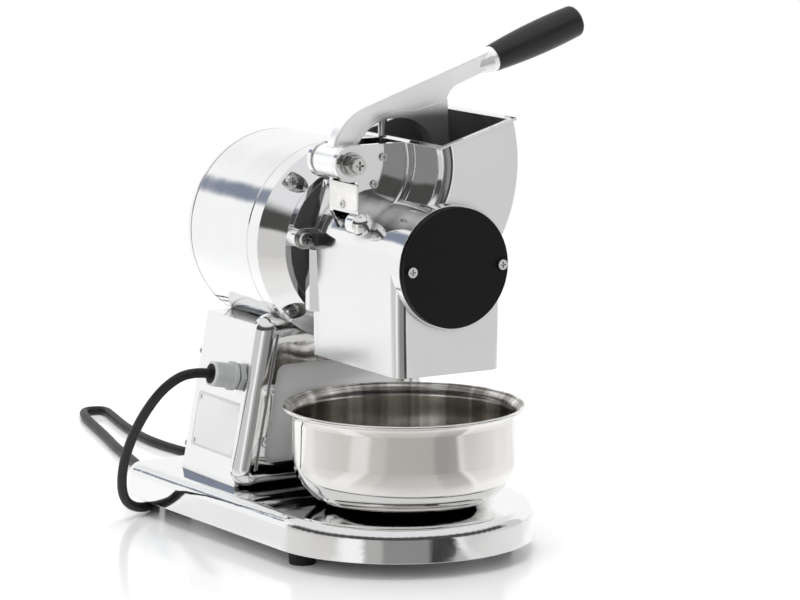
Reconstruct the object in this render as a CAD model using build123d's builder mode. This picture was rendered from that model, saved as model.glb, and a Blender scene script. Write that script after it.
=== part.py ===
from build123d import *
from math import acos, atan2, cos, degrees, hypot, pi, radians, sin, sqrt, tan
import os

# Counter-top electric cheese grater: a motor on a leaning pedestal drives a grating drum in a cast
# head, a hinged lever presses the cheese on the drum, and a bowl under the chute catches the gratings.
# All is drawn about the drive axis: X runs right, Y runs back from the drum cover, Z runs up, in mm.

# Fits
bolt_fit = 0.05          # gap around screws, pins and pressed rings
running_fit = 0.05       # radial gap of a turning shaft in its bearing
side_play = 0.3          # gap beside parts that swing or slide
cross_length = 1.2       # cross recess of a screw, as shares of its head
cross_width = 0.25
cross_depth = 0.35

# Stance and base
axis_height = 217.0      # drive axis above the counter
foot_height = 11.5
foot_radius = 10.5
foot_taper = 1.0
foot_bore_depth = 5.0
foot_front = (83.0, 75.0)
foot_rear_x = 75.0
foot_rear_inset = 26.0   # rear feet before the base's rear edge
base_thickness = 24.5
base_front_radius = 101.0
base_front_center = 81.5
base_tail = 49.0         # base behind the pedestal
base_rear_half = 113.0
base_corner = 18.0
base_draft = 2.8         # lean of the base's side over its thickness
base_edge_round = 9.0
base_wall = 6.0
base_roof = 6.0
cover_margin = 2.5
cover_thickness = 1.5
cover_gap = 0.3
foot_boss_radius = 9.0
foot_screw_radius = 2.5
foot_screw_head = 4.4
foot_screw_head_height = 3.0
foot_screw_tip = 4.0

# Pedestal
frame_overhang = 8.2     # pedestal before the front edge of the motor casing
frame_thickness = 14.0
frame_half = 88.5
frame_top_half = 63.5
frame_top = -53.0
frame_edge_round = 11.0
frame_corner = 13.0
panel_border = 19.0
panel_depth = 4.0
panel_corner = 7.0
panel_top = -90.0
groove_inset = 12.5
groove_width = 2.5
groove_depth = 2.5
groove_end = 14.0
side_inset = 6.0
body_length = 97.0
body_top = -62.0
body_wall = 6.0
cradle_wall = 8.0
back_cover_thickness = 2.0
back_cover_margin = 2.0
back_screw_reach = 8.0
pedestal_screw_x = 60.0
pedestal_screw_front = 30.0
pedestal_screw_rear = 15.0
pedestal_screw_radius = 3.0
pedestal_screw_head = 5.0
pedestal_screw_head_height = 5.0
casing_screw_front = 26.8
casing_screw_rear = 32.0

# Motor
casing_radius = 73.3
casing_length = 98.8
casing_wall = 4.0
casing_rear_round = 8.0
cap_line_inset = 11.0     # line that shows where the rounded end starts
cap_line_width = 1.2
cap_line_depth = 0.6
seam_chamfer = 0.8
flange_nose_gap = 0.2
flange_length = 35.0
flange_nose_step = 12.8   # nose radius under the casing radius
flange_nose_length = 19.3
flange_nose_wall = 4.5
flange_web = 10.0
hub_radius = 30.0
rib_depth = 6.1          # flange screws under the casing radius
flange_screw_radius = 2.5
flange_screw_head = 4.3
flange_screw_head_height = 5.0
flange_pocket_depth = 16.8
flange_screw_bite = 18.0
pocket_radius = 7.0
rib_radius = 6.0
stator_setback = 16.8
stator_length = 55.0
rotor_setback = 3.0      # stator bore inside the winding heads
air_gap = 0.5
winding_thickness = 17.0
winding_gap = 1.2        # windings inside the casing ribs
winding_length = 11.0
shaft_radius = 8.5
bearing_radius = 20.0
bearing_width = 12.0
bearing_boss = 26.0
shaft_nose_radius = 6.0
shaft_collar_radius = 11.0
shaft_collar_length = 1.6

# Drum and head
disc_radius = 43.0
disc_thickness = 4.0
disc_screw_x = 37.1
disc_screw_radius = 2.5
disc_screw_head = 3.7
disc_screw_head_height = 2.6
disc_screw_reach = 8.0
disc_lug_radius = 6.0
disc_lug_length = 9.0
drum_radius = 37.5
drum_front = 16.0
drum_length = 106.0
drum_wall = 2.0
drum_end = 4.0
drum_hub = 14.0
drum_gap = 2.0
drum_end_gap = 2.0
drum_nut_flats = 19.0
drum_nut_height = 8.0
key_width = 5.0
key_length = 30.0
head_radius = 44.5
head_rear_wall = 8.0
rear_rim = 1.5
rear_rim_thickness = 6.0
rear_plate_half = 47.5   # plate behind the drum housing, hollowed in front towards the chute
rear_plate_low = -44.0
rear_plate_high = 1.0
rear_plate_sweep = 17.0
rear_plate_hollow = 1.2
rear_brow_x = -32.0
rear_brow_z = 50.5
ear_thickness = 6.0
ear_reach = 8.0          # head bolts outside the drum housing
ear_z = 9.0
ear_radius = 7.5
head_bolt_radius = 4.0
head_bolt_head = 5.2
head_bolt_head_height = 5.4
head_bolt_reach = 26.0
head_washer_radius = 6.4
head_washer_thickness = 1.0
seal_radius = 15.0
seal_length = 6.0
chute_half = 43.2
chute_front = 8.6
chute_bottom = -76.8
chute_corner = 8.0
head_wall = 3.0
mouth_front = 12.0
mouth_inner = 48.5
mouth_outer = 110.0
mouth_corner = 9.0
bead_width = 3.5         # bead where the pivot plate meets the mouth
bead_depth = 2.5
bead_round = 1.6
rim_angle = 16.5
lip_overhang = 2.0
lip_thickness = 2.0
mouth_floor_angle = -48.0
grommet_setback = 20.5
grommet_z = 10.0
grommet_radius = 4.6
grommet_length = 6.0

# Lever
pivot_x = -52.0
pivot_z = 70.5
pivot_radius = 4.0
eye_radius = 13.0
plate_front = 57.0
plate_thickness = 5.0
hub_length = 30.4
lever_hub_radius = 11.8
bush_wall = 2.0
plate_toe = (-46.6, 33.0)   # lower left corner of both cheeks of the pivot
plate_heel = (-40.0, 20.0)
shoulder_place = (-43.0, 26.5)
shoulder_radius = 8.5
shoulder_reach = 6.0     # shoulder in front of the pivot plate
shoulder_length = 23.0
shoulder_round = 7.5
collar_flats = 13.0
collar_height = 6.5
pivot_washer_radius = 8.5
pivot_washer_thickness = 1.5
pivot_head_radius = 5.4
pivot_head_height = 4.0
pivot_nut_height = 6.0
arm_angle = 18.5
bend_center = (-20.7, 73.0)
bend_radius = 37.8
bend_end_angle = 167.0
web_width = 11.6
web_round = 1.4
rib_width = 14.0
strut_inner = 78.0
strut_outer = 94.0
arch_crown = (-7.0, 99.3)
arch_foot = (-42.5, 80.0)
arch_rise = (-27.5, 94.3)
arch_fall = (13.4, 93.5)
arch_root_angle = 25.0
rib_rise = (-20.5, 101.0)
rib_crown = (9.0, 104.0)
strut_shoulder = (35.5, 110.5)
throat_mid = (39.3, 117.4)
throat_end = (47.5, 121.9)
shoe_play = 1.5
shoe_top_angle = -15.0
shoe_drum_gap = 1.5
grip_start = (78.2, 137.7)
grip_angle = 18.9
grip_length = 76.5
grip_root_radius = 9.9
grip_belly_radius = 12.4
grip_belly_share = 0.62
grip_tip_radius = 11.6
grip_tip_round = 4.0
socket_radius = 9.4
socket_length = 15.0
socket_collar = 4.0
socket_web = 4.5         # web under the axis of the socket
tang_radius = 5.0
tang_length = 56.0
magnet_x = -14.5
magnet_radius = 3.2
magnet_top = 100.5
magnet_lift = 2.0        # magnet over the top of the pivot eye
magnet_round = 1.6

# Safety switch behind the pivot plate, and the shield that closes the room under the lever hub
switch_size = (24.0, 18.0, 27.0)
switch_center = (-26.0, 65.0)
switch_screws = ((-26.2, 74.2), (-33.6, 55.4))
switch_dome_radius = 2.4
switch_dome_top = 84.5
small_screw_radius = 1.5
small_screw_head = 2.8
small_screw_head_height = 1.6
shield_width = 38.0
shield_height = 18.8
shield_thickness = 1.2
shield_low = 36.6
shield_screw_rise = 3.4
bridge_size = (8.0, 12.0)   # bar between the cheeks that takes the screw of the shield

# Bowl
bowl_y = 72.0
bowl_height = 72.8
bowl_wall_radius = 81.7
bowl_curve = 37.0
bowl_straight = 26.5
bowl_rim_radius = 87.8
bowl_wall = 1.2
bowl_bead = 1.4

# Electrical parts
gland_setback = 25.0
gland_z = -101.5
gland_flats = 19.0
gland_hex_height = 8.0
gland_neck = 2.0
gland_flange_radius = 10.8
gland_flange_height = 3.0
gland_nut_flats = 18.0
gland_nut_corner = 3.0
gland_nut_height = 16.0
gland_nut_round = 2.0
gland_thread = 7.5
gland_lock_flats = 20.0
gland_lock_height = 4.0
plate_size = (70.0, 41.0)
plate_setback = 54.0
plate_z = -141.5
plate_sheet = 0.6
rivet_radius = 1.6
rivet_height = 0.9
rivet_inset = 4.0
box_size = (34.0, 62.0)
box_depth = 24.0
box_setback = 57.0
box_z = -131.0
box_round = 4.0
button_radius = 10.0
button_spacing = 28.0
button_proud = 5.0
button_stem_radius = 5.0
button_travel = 3.0
button_round = 1.5
bezel_radius = 12.0
box_cable_radius = 5.0
bezel_height = 2.0
capacitor_radius = 17.5
capacitor_length = 60.0
capacitor_x = 34.0
capacitor_gap = 2.0
terminal_size = (48.0, 22.0, 18.0)
terminal_x = -26.0
terminal_setback = 50.0
cord_radius = 3.7
cord_lead = 17.5         # straight stretch of the lead out of the gland
bend_share = 0.45        # share of the shorter run that a bend of the lead takes
plug_radius = 18.5
plug_neck_radius = 6.0
plug_shoulder_radius = 9.0
plug_length = 26.0
plug_neck_length = 24.0
plug_round = 2.0
pin_radius = 2.4
pin_length = 19.0
pin_seat = 10.0
pin_spacing = 19.0

# Heights and depths that follow from the sizes above
floor = -axis_height
base_bottom = floor + foot_height
base_top = base_bottom + base_thickness
drum_rear = drum_front + drum_length
drum_wall_front = drum_rear + drum_end_gap
head_rear = drum_wall_front + head_rear_wall
mouth_back = head_rear - rear_rim_thickness
chute_rear = drum_wall_front + head_wall
grommet_y = head_rear - grommet_setback
ear_x = head_radius + ear_reach
ear_front = head_rear - rear_rim_thickness
ear_rear = head_rear + ear_thickness
flange_front = ear_rear + flange_nose_gap
flange_shoulder = flange_front + flange_nose_length
flange_screw_seat = flange_front + flange_pocket_depth
flange_screw_circle = casing_radius - rib_depth
flange_nose_radius = casing_radius - flange_nose_step
flange_bore = flange_nose_radius - flange_nose_wall
casing_front = flange_front + flange_length
casing_rear = casing_front + casing_length
casing_screw_depths = (casing_front + casing_screw_front, casing_rear - casing_screw_rear)
frame_front = casing_front - frame_overhang
frame_rear = frame_front + frame_thickness
body_rear = frame_front + body_length
base_rear = body_rear + base_tail
foot_rear = (foot_rear_x, base_rear - foot_rear_inset)
pedestal_screw_depths = (frame_front + pedestal_screw_front, body_rear - pedestal_screw_rear)
gland_y = frame_front + gland_setback
plate_place = (frame_front + plate_setback, plate_z)
box_place = (frame_front + box_setback, box_z)
capacitor_y = body_rear - capacitor_gap - capacitor_length
terminal_place = (terminal_x, frame_front + terminal_setback)
stator_front = casing_front + stator_setback
winding_outer = flange_screw_circle - rib_radius - winding_gap
winding_inner = winding_outer - winding_thickness
stator_bore = winding_inner - rotor_setback
frame_lean = (frame_half - frame_top_half) / (frame_top - base_top)
lean = atan2(frame_half - frame_top_half, frame_top - base_top)
foot_screw_reach = foot_height - foot_bore_depth + base_thickness - base_roof - foot_screw_tip
body_floor = base_top + body_wall
cavity_top = -casing_radius - cradle_wall
flange_plate = casing_front - flange_web
bearing_front = casing_front - bearing_width
casing_floor = casing_rear - casing_wall
cap_line = casing_rear - cap_line_inset
stator_rear = stator_front + stator_length
rear_bearing = casing_floor - bearing_width
bore_radius = drum_radius + drum_gap
plate_rear = plate_front + plate_thickness
cheek_front = plate_rear + hub_length + 2 * side_play
cheek_rear = cheek_front + plate_thickness
lever_mid = (plate_rear + cheek_front) / 2
shield_screw_z = shield_low + shield_screw_rise
shield_place = (plate_toe[0] - shield_thickness, plate_front + shield_width / 2, shield_screw_z)
shield_seat = Plane(origin=shield_place, x_dir=(0, 1, 0), z_dir=(1, 0, 0))
foot_places = [(side * x, y) for side in (-1, 1) for x, y in (foot_front, foot_rear)]
flange_screw_angles = (45, 135, 225, 315)


def depth(y):
    """Upright plane at a depth behind the drum cover: x to the right, y up, facing the front."""
    return Plane.XZ.offset(-y)


def along_depth(x=0.0, z=0.0):
    """Plane whose normal runs back along the depth, through a point seen from the front."""
    return Plane(origin=(x, 0, z), x_dir=(1, 0, 0), z_dir=(0, 1, 0))


def upright(x, y):
    """Plane whose normal runs up, through a point seen from above."""
    return Plane(origin=(x, y, 0))


def pedestal_half(z):
    """Half width of the pedestal frame at a height."""
    return frame_half - (z - base_top) * frame_lean


def side_face(side, y, z):
    """Plane on a leaning side of the pedestal, facing out: side is -1 on the left, 1 on the right."""
    half = pedestal_half(z) - side_inset
    return Plane(origin=(side * half, y, z), x_dir=(0, side, 0), z_dir=(side * cos(lean), 0, sin(lean)))


def around_pivot(radius, angle):
    """Point at a radius and an angle from the lever pivot, seen from the front."""
    return (pivot_x + radius * cos(radians(angle)), pivot_z + radius * sin(radians(angle)))


def rod(plane, radius, start, end, mode=Mode.ADD):
    """Round rod along a plane's normal from start to end."""
    with Locations(plane.offset((start + end) / 2)):
        Cylinder(radius, end - start, mode=mode)


def screw(plane, shank, reach, head, head_height):
    """Screw along a plane's normal with its head under the plane, and a cross cut in the head."""
    rod(plane, head, -head_height, 0)
    rod(plane, shank, 0, reach)
    cut = head_height * cross_depth
    with Locations(plane.offset(cut / 2 - head_height)):
        Box(cross_length * head, cross_width * head, cut, mode=Mode.SUBTRACT)
        Box(cross_width * head, cross_length * head, cut, mode=Mode.SUBTRACT)


def sector(inner, outer, low, high):
    """Ring sector about the lever pivot between two angles, seen from the front."""
    with BuildSketch() as shape:
        with BuildLine():
            near = CenterArc((pivot_x, pivot_z), inner, low, high - low)
            far = CenterArc((pivot_x, pivot_z), outer, low, high - low)
            Line(near @ 0, far @ 0)
            Line(near @ 1, far @ 1)
        make_face()
    return shape.sketch


def base_outline(inset):
    """Base seen from above, a given distance inside its edge: round front, sides that spread to the back."""
    radius = base_front_radius - inset
    half = base_rear_half - inset
    rear = base_rear - inset
    reach = sqrt(half**2 + (rear - base_front_center) ** 2)
    touch = atan2(rear - base_front_center, half) - acos(radius / reach)
    right = (radius * cos(touch), base_front_center + radius * sin(touch))
    left = (-right[0], right[1])
    with BuildSketch() as shape:
        with BuildLine():
            ThreePointArc(left, (0, base_front_center - radius), right)
            Polyline(right, (half, rear), (-half, rear), left)
        make_face()
        fillet(shape.vertices().group_by(Axis.Y)[-1], base_corner - inset)
    return shape.sketch


def trapezoid(inset, bottom, top):
    """Front view of the pedestal between two heights, a given distance inside its sides."""
    low = pedestal_half(bottom) - inset
    high = pedestal_half(top) - inset
    with BuildSketch() as shape:
        with BuildLine():
            Polyline((-low, bottom), (low, bottom), (high, top), (-high, top), close=True)
        make_face()
    return shape.sketch


# Cast base, hollow from below, with a boss over each foot
with BuildPart() as base_plate:
    with BuildSketch(Plane.XY.offset(base_bottom)):
        add(base_outline(0))
    with BuildSketch(Plane.XY.offset(base_top)):
        add(base_outline(base_draft))
    loft(ruled=True)
    fillet(base_plate.faces().sort_by(Axis.Z)[-1].edges(), base_edge_round)
    with BuildSketch(Plane.XY.offset(base_bottom)):
        add(base_outline(base_wall))
    extrude(amount=base_thickness - base_roof, mode=Mode.SUBTRACT)
    with BuildSketch(Plane.XY.offset(base_bottom)):
        add(base_outline(cover_margin))
    extrude(amount=cover_thickness, mode=Mode.SUBTRACT)
    for x, y in foot_places:
        rod(upright(x, y), foot_boss_radius, base_bottom + cover_thickness, base_top - base_roof)
    for x, y in foot_places:
        rod(upright(x, y), foot_screw_radius + bolt_fit, base_bottom, base_top - base_roof, Mode.SUBTRACT)
    for y in pedestal_screw_depths:
        for x in (-pedestal_screw_x, pedestal_screw_x):
            hole = pedestal_screw_radius + bolt_fit
            rod(upright(x, y), hole, base_top - base_roof, base_top, Mode.SUBTRACT)

# Sheet that closes the base from below
with BuildPart() as base_cover:
    with BuildSketch(Plane.XY.offset(base_bottom)):
        add(base_outline(cover_margin + cover_gap))
    extrude(amount=cover_thickness)
    for x, y in foot_places:
        hole = foot_screw_radius + bolt_fit
        rod(upright(x, y), hole, base_bottom, base_bottom + cover_thickness, Mode.SUBTRACT)

# Rubber feet, wider at the top
with BuildPart() as rubber_feet:
    for x, y in foot_places:
        with Locations((x, y, floor + foot_height / 2)):
            Cone(foot_radius - foot_taper, foot_radius, foot_height)
        rod(upright(x, y), foot_screw_head + side_play, floor, floor + foot_bore_depth, Mode.SUBTRACT)
        rod(upright(x, y), foot_screw_radius + bolt_fit, floor, base_bottom, Mode.SUBTRACT)

# Screws that hold the feet and the cover sheet to the base
with BuildPart() as foot_screws:
    for x, y in foot_places:
        seat = upright(x, y).offset(floor + foot_bore_depth)
        screw(seat, foot_screw_radius, foot_screw_reach, foot_screw_head, foot_screw_head_height)

# Holes of the back cover in the side walls of the pedestal
back_holes = [
    (side * (pedestal_half(z) - side_inset - body_wall / 2), z)
    for side in (-1, 1)
    for z in (base_top + 3 * body_wall, cavity_top - 2 * body_wall)
]

# Pedestal casting: a leaning frame plate in front, a hollow body behind it and a cradle on top
with BuildPart() as pedestal:
    with BuildSketch(depth(frame_front)) as frame_face:
        add(trapezoid(0, base_top, frame_top))
        fillet(frame_face.vertices().group_by(Axis.Z)[0], frame_corner)
    extrude(amount=-frame_thickness)
    fillet(pedestal.faces().sort_by(Axis.Y)[0].edges().sort_by(Axis.Z)[:-1], frame_edge_round)
    with BuildSketch(depth(frame_rear)):
        add(trapezoid(side_inset, base_top, body_top))
    extrude(amount=frame_rear - body_rear)
    rod(along_depth(), casing_radius + bolt_fit, 0, casing_rear + frame_thickness, Mode.SUBTRACT)
    with BuildSketch(depth(body_rear)):
        add(trapezoid(side_inset + body_wall, body_floor, cavity_top))
    extrude(amount=body_rear - frame_rear, mode=Mode.SUBTRACT)
    with BuildSketch(depth(frame_front)) as panel_face:
        add(trapezoid(panel_border, base_top + panel_border, panel_top))
        fillet(panel_face.vertices(), panel_corner)
    extrude(amount=-panel_depth, mode=Mode.SUBTRACT)
    groove_low = base_top + groove_end
    groove_high = frame_top - groove_end
    with BuildSketch(depth(frame_front)):
        add(trapezoid(groove_inset, groove_low, groove_high))
        add(trapezoid(groove_inset + groove_width, groove_low, groove_high), mode=Mode.SUBTRACT)
    extrude(amount=-groove_depth, mode=Mode.SUBTRACT)
    for y in pedestal_screw_depths:
        for x in (-pedestal_screw_x, pedestal_screw_x):
            rod(upright(x, y), pedestal_screw_radius + bolt_fit, base_top, body_floor, Mode.SUBTRACT)
    for y in casing_screw_depths:
        rod(upright(0, y), pedestal_screw_radius + bolt_fit, cavity_top, -casing_radius, Mode.SUBTRACT)
    rod(side_face(-1, gland_y, gland_z), gland_thread + bolt_fit, -2 * body_wall, 0, Mode.SUBTRACT)
    rod(side_face(1, *box_place), box_cable_radius, -2 * body_wall, 0, Mode.SUBTRACT)
    for x, z in back_holes:
        hole = small_screw_radius + bolt_fit
        rod(along_depth(x, z), hole, body_rear - back_screw_reach, body_rear, Mode.SUBTRACT)

# Screws up through the base roof into the pedestal floor
with BuildPart() as pedestal_screws:
    for y in pedestal_screw_depths:
        for x in (-pedestal_screw_x, pedestal_screw_x):
            seat = upright(x, y).offset(base_top - base_roof)
            reach = base_roof + body_wall
            screw(seat, pedestal_screw_radius, reach, pedestal_screw_head, pedestal_screw_head_height)

# Sheet over the open back of the pedestal, and its screws
with BuildPart() as back_cover:
    with BuildSketch(depth(body_rear)):
        margin = back_cover_margin
        add(trapezoid(side_inset + margin, base_top + margin, cavity_top + margin))
    extrude(amount=-back_cover_thickness)
    for x, z in back_holes:
        hole = small_screw_radius + bolt_fit
        rod(along_depth(x, z), hole, body_rear, body_rear + back_cover_thickness, Mode.SUBTRACT)
with BuildPart() as back_cover_screws:
    for x, z in back_holes:
        seat = Plane(origin=(x, body_rear + back_cover_thickness, z), x_dir=(1, 0, 0), z_dir=(0, -1, 0))
        reach = back_cover_thickness + back_screw_reach
        screw(seat, small_screw_radius, reach, small_screw_head, small_screw_head_height)

# Motor casing: a deep cup, closed and rounded at the back, with four ribs for the flange screws
with BuildPart() as motor_casing:
    rod(along_depth(), casing_radius, casing_front, casing_rear)
    fillet(motor_casing.edges().sort_by(Axis.Y)[-1], casing_rear_round)
    chamfer(motor_casing.edges().sort_by(Axis.Y)[0], seam_chamfer)
    rod(along_depth(), casing_radius - casing_wall, casing_front, casing_floor, Mode.SUBTRACT)
    with BuildSketch(depth(cap_line)):
        Circle(casing_radius)
        Circle(casing_radius - cap_line_depth, mode=Mode.SUBTRACT)
    extrude(amount=-cap_line_width, mode=Mode.SUBTRACT)
    with PolarLocations(flange_screw_circle, len(flange_screw_angles), flange_screw_angles[0]) as rib_places:
        rib_points = [(place.position.X, place.position.Y) for place in rib_places.locations]
    for x, z in rib_points:
        rod(along_depth(x, z), rib_radius, casing_front, rear_bearing)
        rod(along_depth(x, z), flange_screw_radius + bolt_fit, casing_front, stator_rear, Mode.SUBTRACT)
    rod(along_depth(), bearing_boss, rear_bearing, casing_floor)
    rod(along_depth(), bearing_radius + bolt_fit, rear_bearing, casing_floor, Mode.SUBTRACT)
    for y in casing_screw_depths:
        hole = pedestal_screw_radius + bolt_fit
        rod(upright(0, y), hole, -casing_radius, casing_wall - casing_radius, Mode.SUBTRACT)

# Screws from inside the pedestal that hold the casing in its cradle
with BuildPart() as casing_screws:
    for y in casing_screw_depths:
        seat = upright(0, y).offset(cavity_top)
        reach = cradle_wall + casing_wall
        screw(seat, pedestal_screw_radius, reach, pedestal_screw_head, pedestal_screw_head_height)

# Bell-shaped motor flange with four screw pockets in its shoulder and bosses for the head bolts
with BuildPart() as motor_flange:
    with BuildSketch(Plane.XY):
        with BuildLine():
            Polyline(
                (shaft_collar_radius + side_play, ear_rear),
                (hub_radius, ear_rear),
                (hub_radius, flange_plate),
                (flange_bore, flange_plate),
                (flange_bore, flange_front),
                (flange_nose_radius, flange_front),
                (casing_radius, flange_shoulder),
                (casing_radius, casing_front - seam_chamfer),
                (casing_radius - seam_chamfer, casing_front),
                (bearing_radius + bolt_fit, casing_front),
                (bearing_radius + bolt_fit, bearing_front),
                (shaft_collar_radius + side_play, bearing_front),
                close=True,
            )
        make_face()
    revolve(axis=Axis.Y)
    for x in (-ear_x, ear_x):
        rod(along_depth(x, ear_z), ear_radius, ear_rear, flange_plate)
        rod(along_depth(x, ear_z), head_bolt_radius + bolt_fit, ear_rear, flange_plate, Mode.SUBTRACT)
    for x, z in rib_points:
        rod(along_depth(x, z), pocket_radius, flange_front, flange_screw_seat, Mode.SUBTRACT)
        rod(along_depth(x, z), flange_screw_radius + bolt_fit, flange_screw_seat, casing_front, Mode.SUBTRACT)

# Screws in the pockets of the flange
with BuildPart() as flange_screws:
    for x, z in rib_points:
        seat = along_depth(x, z).offset(flange_screw_seat)
        reach = casing_front - flange_screw_seat + flange_screw_bite
        screw(seat, flange_screw_radius, reach, flange_screw_head, flange_screw_head_height)

# Stator: laminated ring with four notches for the casing ribs
with BuildPart() as stator_core:
    rod(along_depth(), casing_radius - casing_wall - bolt_fit, stator_front, stator_rear)
    rod(along_depth(), stator_bore, stator_front, stator_rear, Mode.SUBTRACT)
    for x, z in rib_points:
        rod(along_depth(x, z), rib_radius + side_play, stator_front, stator_rear, Mode.SUBTRACT)

# Winding heads at both ends of the stator
with BuildPart() as stator_windings:
    for start in (stator_front - winding_length, stator_rear):
        rod(along_depth(), winding_outer, start, start + winding_length)
        rod(along_depth(), winding_inner, start, start + winding_length, Mode.SUBTRACT)


def bearing(start):
    """Ball bearing on the motor shaft, as one closed ring."""
    with BuildPart() as ring:
        rod(along_depth(), bearing_radius, start, start + bearing_width)
        rod(along_depth(), shaft_radius + running_fit, start, start + bearing_width, Mode.SUBTRACT)
        chamfer(ring.edges().filter_by(GeomType.CIRCLE), seam_chamfer)
    return ring


front_bearing = bearing(bearing_front)
rear_bearing_ring = bearing(rear_bearing)

# Motor shaft with a collar behind the drum, a threaded nose and a keyway
with BuildPart() as motor_shaft:
    rod(along_depth(), shaft_radius, drum_front + drum_end / 2, casing_floor - side_play)
    nose_front = drum_front - drum_nut_height - shaft_collar_length
    rod(along_depth(), shaft_nose_radius, nose_front, drum_front + drum_end)
    rod(along_depth(), shaft_collar_radius, drum_rear, drum_rear + shaft_collar_length)
    with Locations((0, drum_front + drum_length / 2, shaft_radius)):
        Box(key_width + bolt_fit, key_length + bolt_fit, key_width + bolt_fit, mode=Mode.SUBTRACT)

# Key between the shaft and the drum
with BuildPart() as drum_key:
    with Locations((0, drum_front + drum_length / 2, shaft_radius)):
        Box(key_width, key_length, key_width)

# Rotor pack pressed on the shaft
with BuildPart() as rotor_core:
    rod(along_depth(), stator_bore - air_gap, stator_front, stator_rear)
    rod(along_depth(), shaft_radius + bolt_fit, stator_front, stator_rear, Mode.SUBTRACT)

# Grating drum: a thin shell on two end plates and a hub
with BuildPart() as grating_drum:
    rod(along_depth(), drum_radius, drum_front, drum_rear)
    rod(along_depth(), drum_radius - drum_wall, drum_front + drum_end, drum_rear - drum_end, Mode.SUBTRACT)
    rod(along_depth(), drum_hub, drum_front, drum_rear)
    rod(along_depth(), shaft_radius + bolt_fit, drum_front, drum_rear, Mode.SUBTRACT)
    with Locations((0, drum_front + drum_length / 2, shaft_radius)):
        Box(key_width + bolt_fit, key_length + bolt_fit, key_width + bolt_fit, mode=Mode.SUBTRACT)

# Nut that holds the drum on the shaft
with BuildPart() as drum_nut:
    with BuildSketch(depth(drum_front)):
        RegularPolygon(drum_nut_flats / 2, 6, major_radius=False)
        Circle(shaft_nose_radius + bolt_fit, mode=Mode.SUBTRACT)
    extrude(amount=drum_nut_height)

# Feed mouth of the head: a curved channel about the lever pivot with a rounded front corner
with BuildPart() as mouth_block:
    with BuildSketch(depth(mouth_front)):
        add(sector(mouth_inner, mouth_outer, mouth_floor_angle, rim_angle))
    extrude(amount=mouth_front - mouth_back)
    front_edges = mouth_block.faces().sort_by(Axis.Y)[0].edges()
    fillet(front_edges.filter_by(GeomType.CIRCLE).sort_by(SortBy.RADIUS)[0], mouth_corner)

# Round bead on the front of the pivot plate, along its seam with the mouth
with BuildPart() as seam_bead:
    with BuildSketch(depth(plate_front - bead_depth)):
        add(sector(mouth_inner - bead_width, mouth_inner + head_wall / 2, mouth_floor_angle, rim_angle))
    extrude(amount=-bead_depth)
    front_edges = seam_bead.faces().sort_by(Axis.Y)[0].edges()
    fillet(front_edges.filter_by(GeomType.CIRCLE).sort_by(SortBy.RADIUS)[0], bead_round)


def chute_outline(inset):
    """Front view of the chute under the drum housing, a given distance inside its sides."""
    high = head_radius - inset
    low = chute_half - inset
    with BuildSketch() as shape:
        with BuildLine():
            Polyline((-high, 0), (-low, chute_bottom), (low, chute_bottom), (high, 0), close=True)
        make_face()
    return shape.sketch


# Chute of the head, with rounded front corners
with BuildPart() as chute_block:
    with BuildSketch(depth(chute_front)):
        add(chute_outline(0))
    extrude(amount=chute_front - chute_rear)
    corners = chute_block.faces().sort_by(Axis.Y)[0].edges().filter_by(Axis.X, reverse=True)
    fillet(corners, chute_corner)

# Plate behind the drum housing, with hollow flanks that run out on the sides of the chute
with BuildPart() as rear_plate:
    with BuildSketch(Plane.XY.offset(rear_plate_low)):
        with BuildLine():
            flank_start = (chute_half, ear_front - rear_plate_sweep)
            flank_end = (rear_plate_half, ear_front)
            flank_middle = (chute_half + rear_plate_hollow, ear_front - rear_plate_sweep / 3)
            ThreePointArc(flank_start, flank_middle, flank_end)
            Polyline(flank_end, (rear_plate_half, head_rear), (0, head_rear), (0, flank_start[1]), flank_start)
        make_face()
        mirror(about=Plane.YZ)
    extrude(amount=rear_plate_high - rear_plate_low)

# Rounded shoulder of the head beside the drum housing, under the shield
with BuildPart() as shoulder:
    shoulder_front = plate_front - shoulder_reach
    rod(along_depth(*shoulder_place), shoulder_radius, shoulder_front, shoulder_front + shoulder_length)
    fillet(shoulder.edges().filter_by(GeomType.CIRCLE), shoulder_round)

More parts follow.
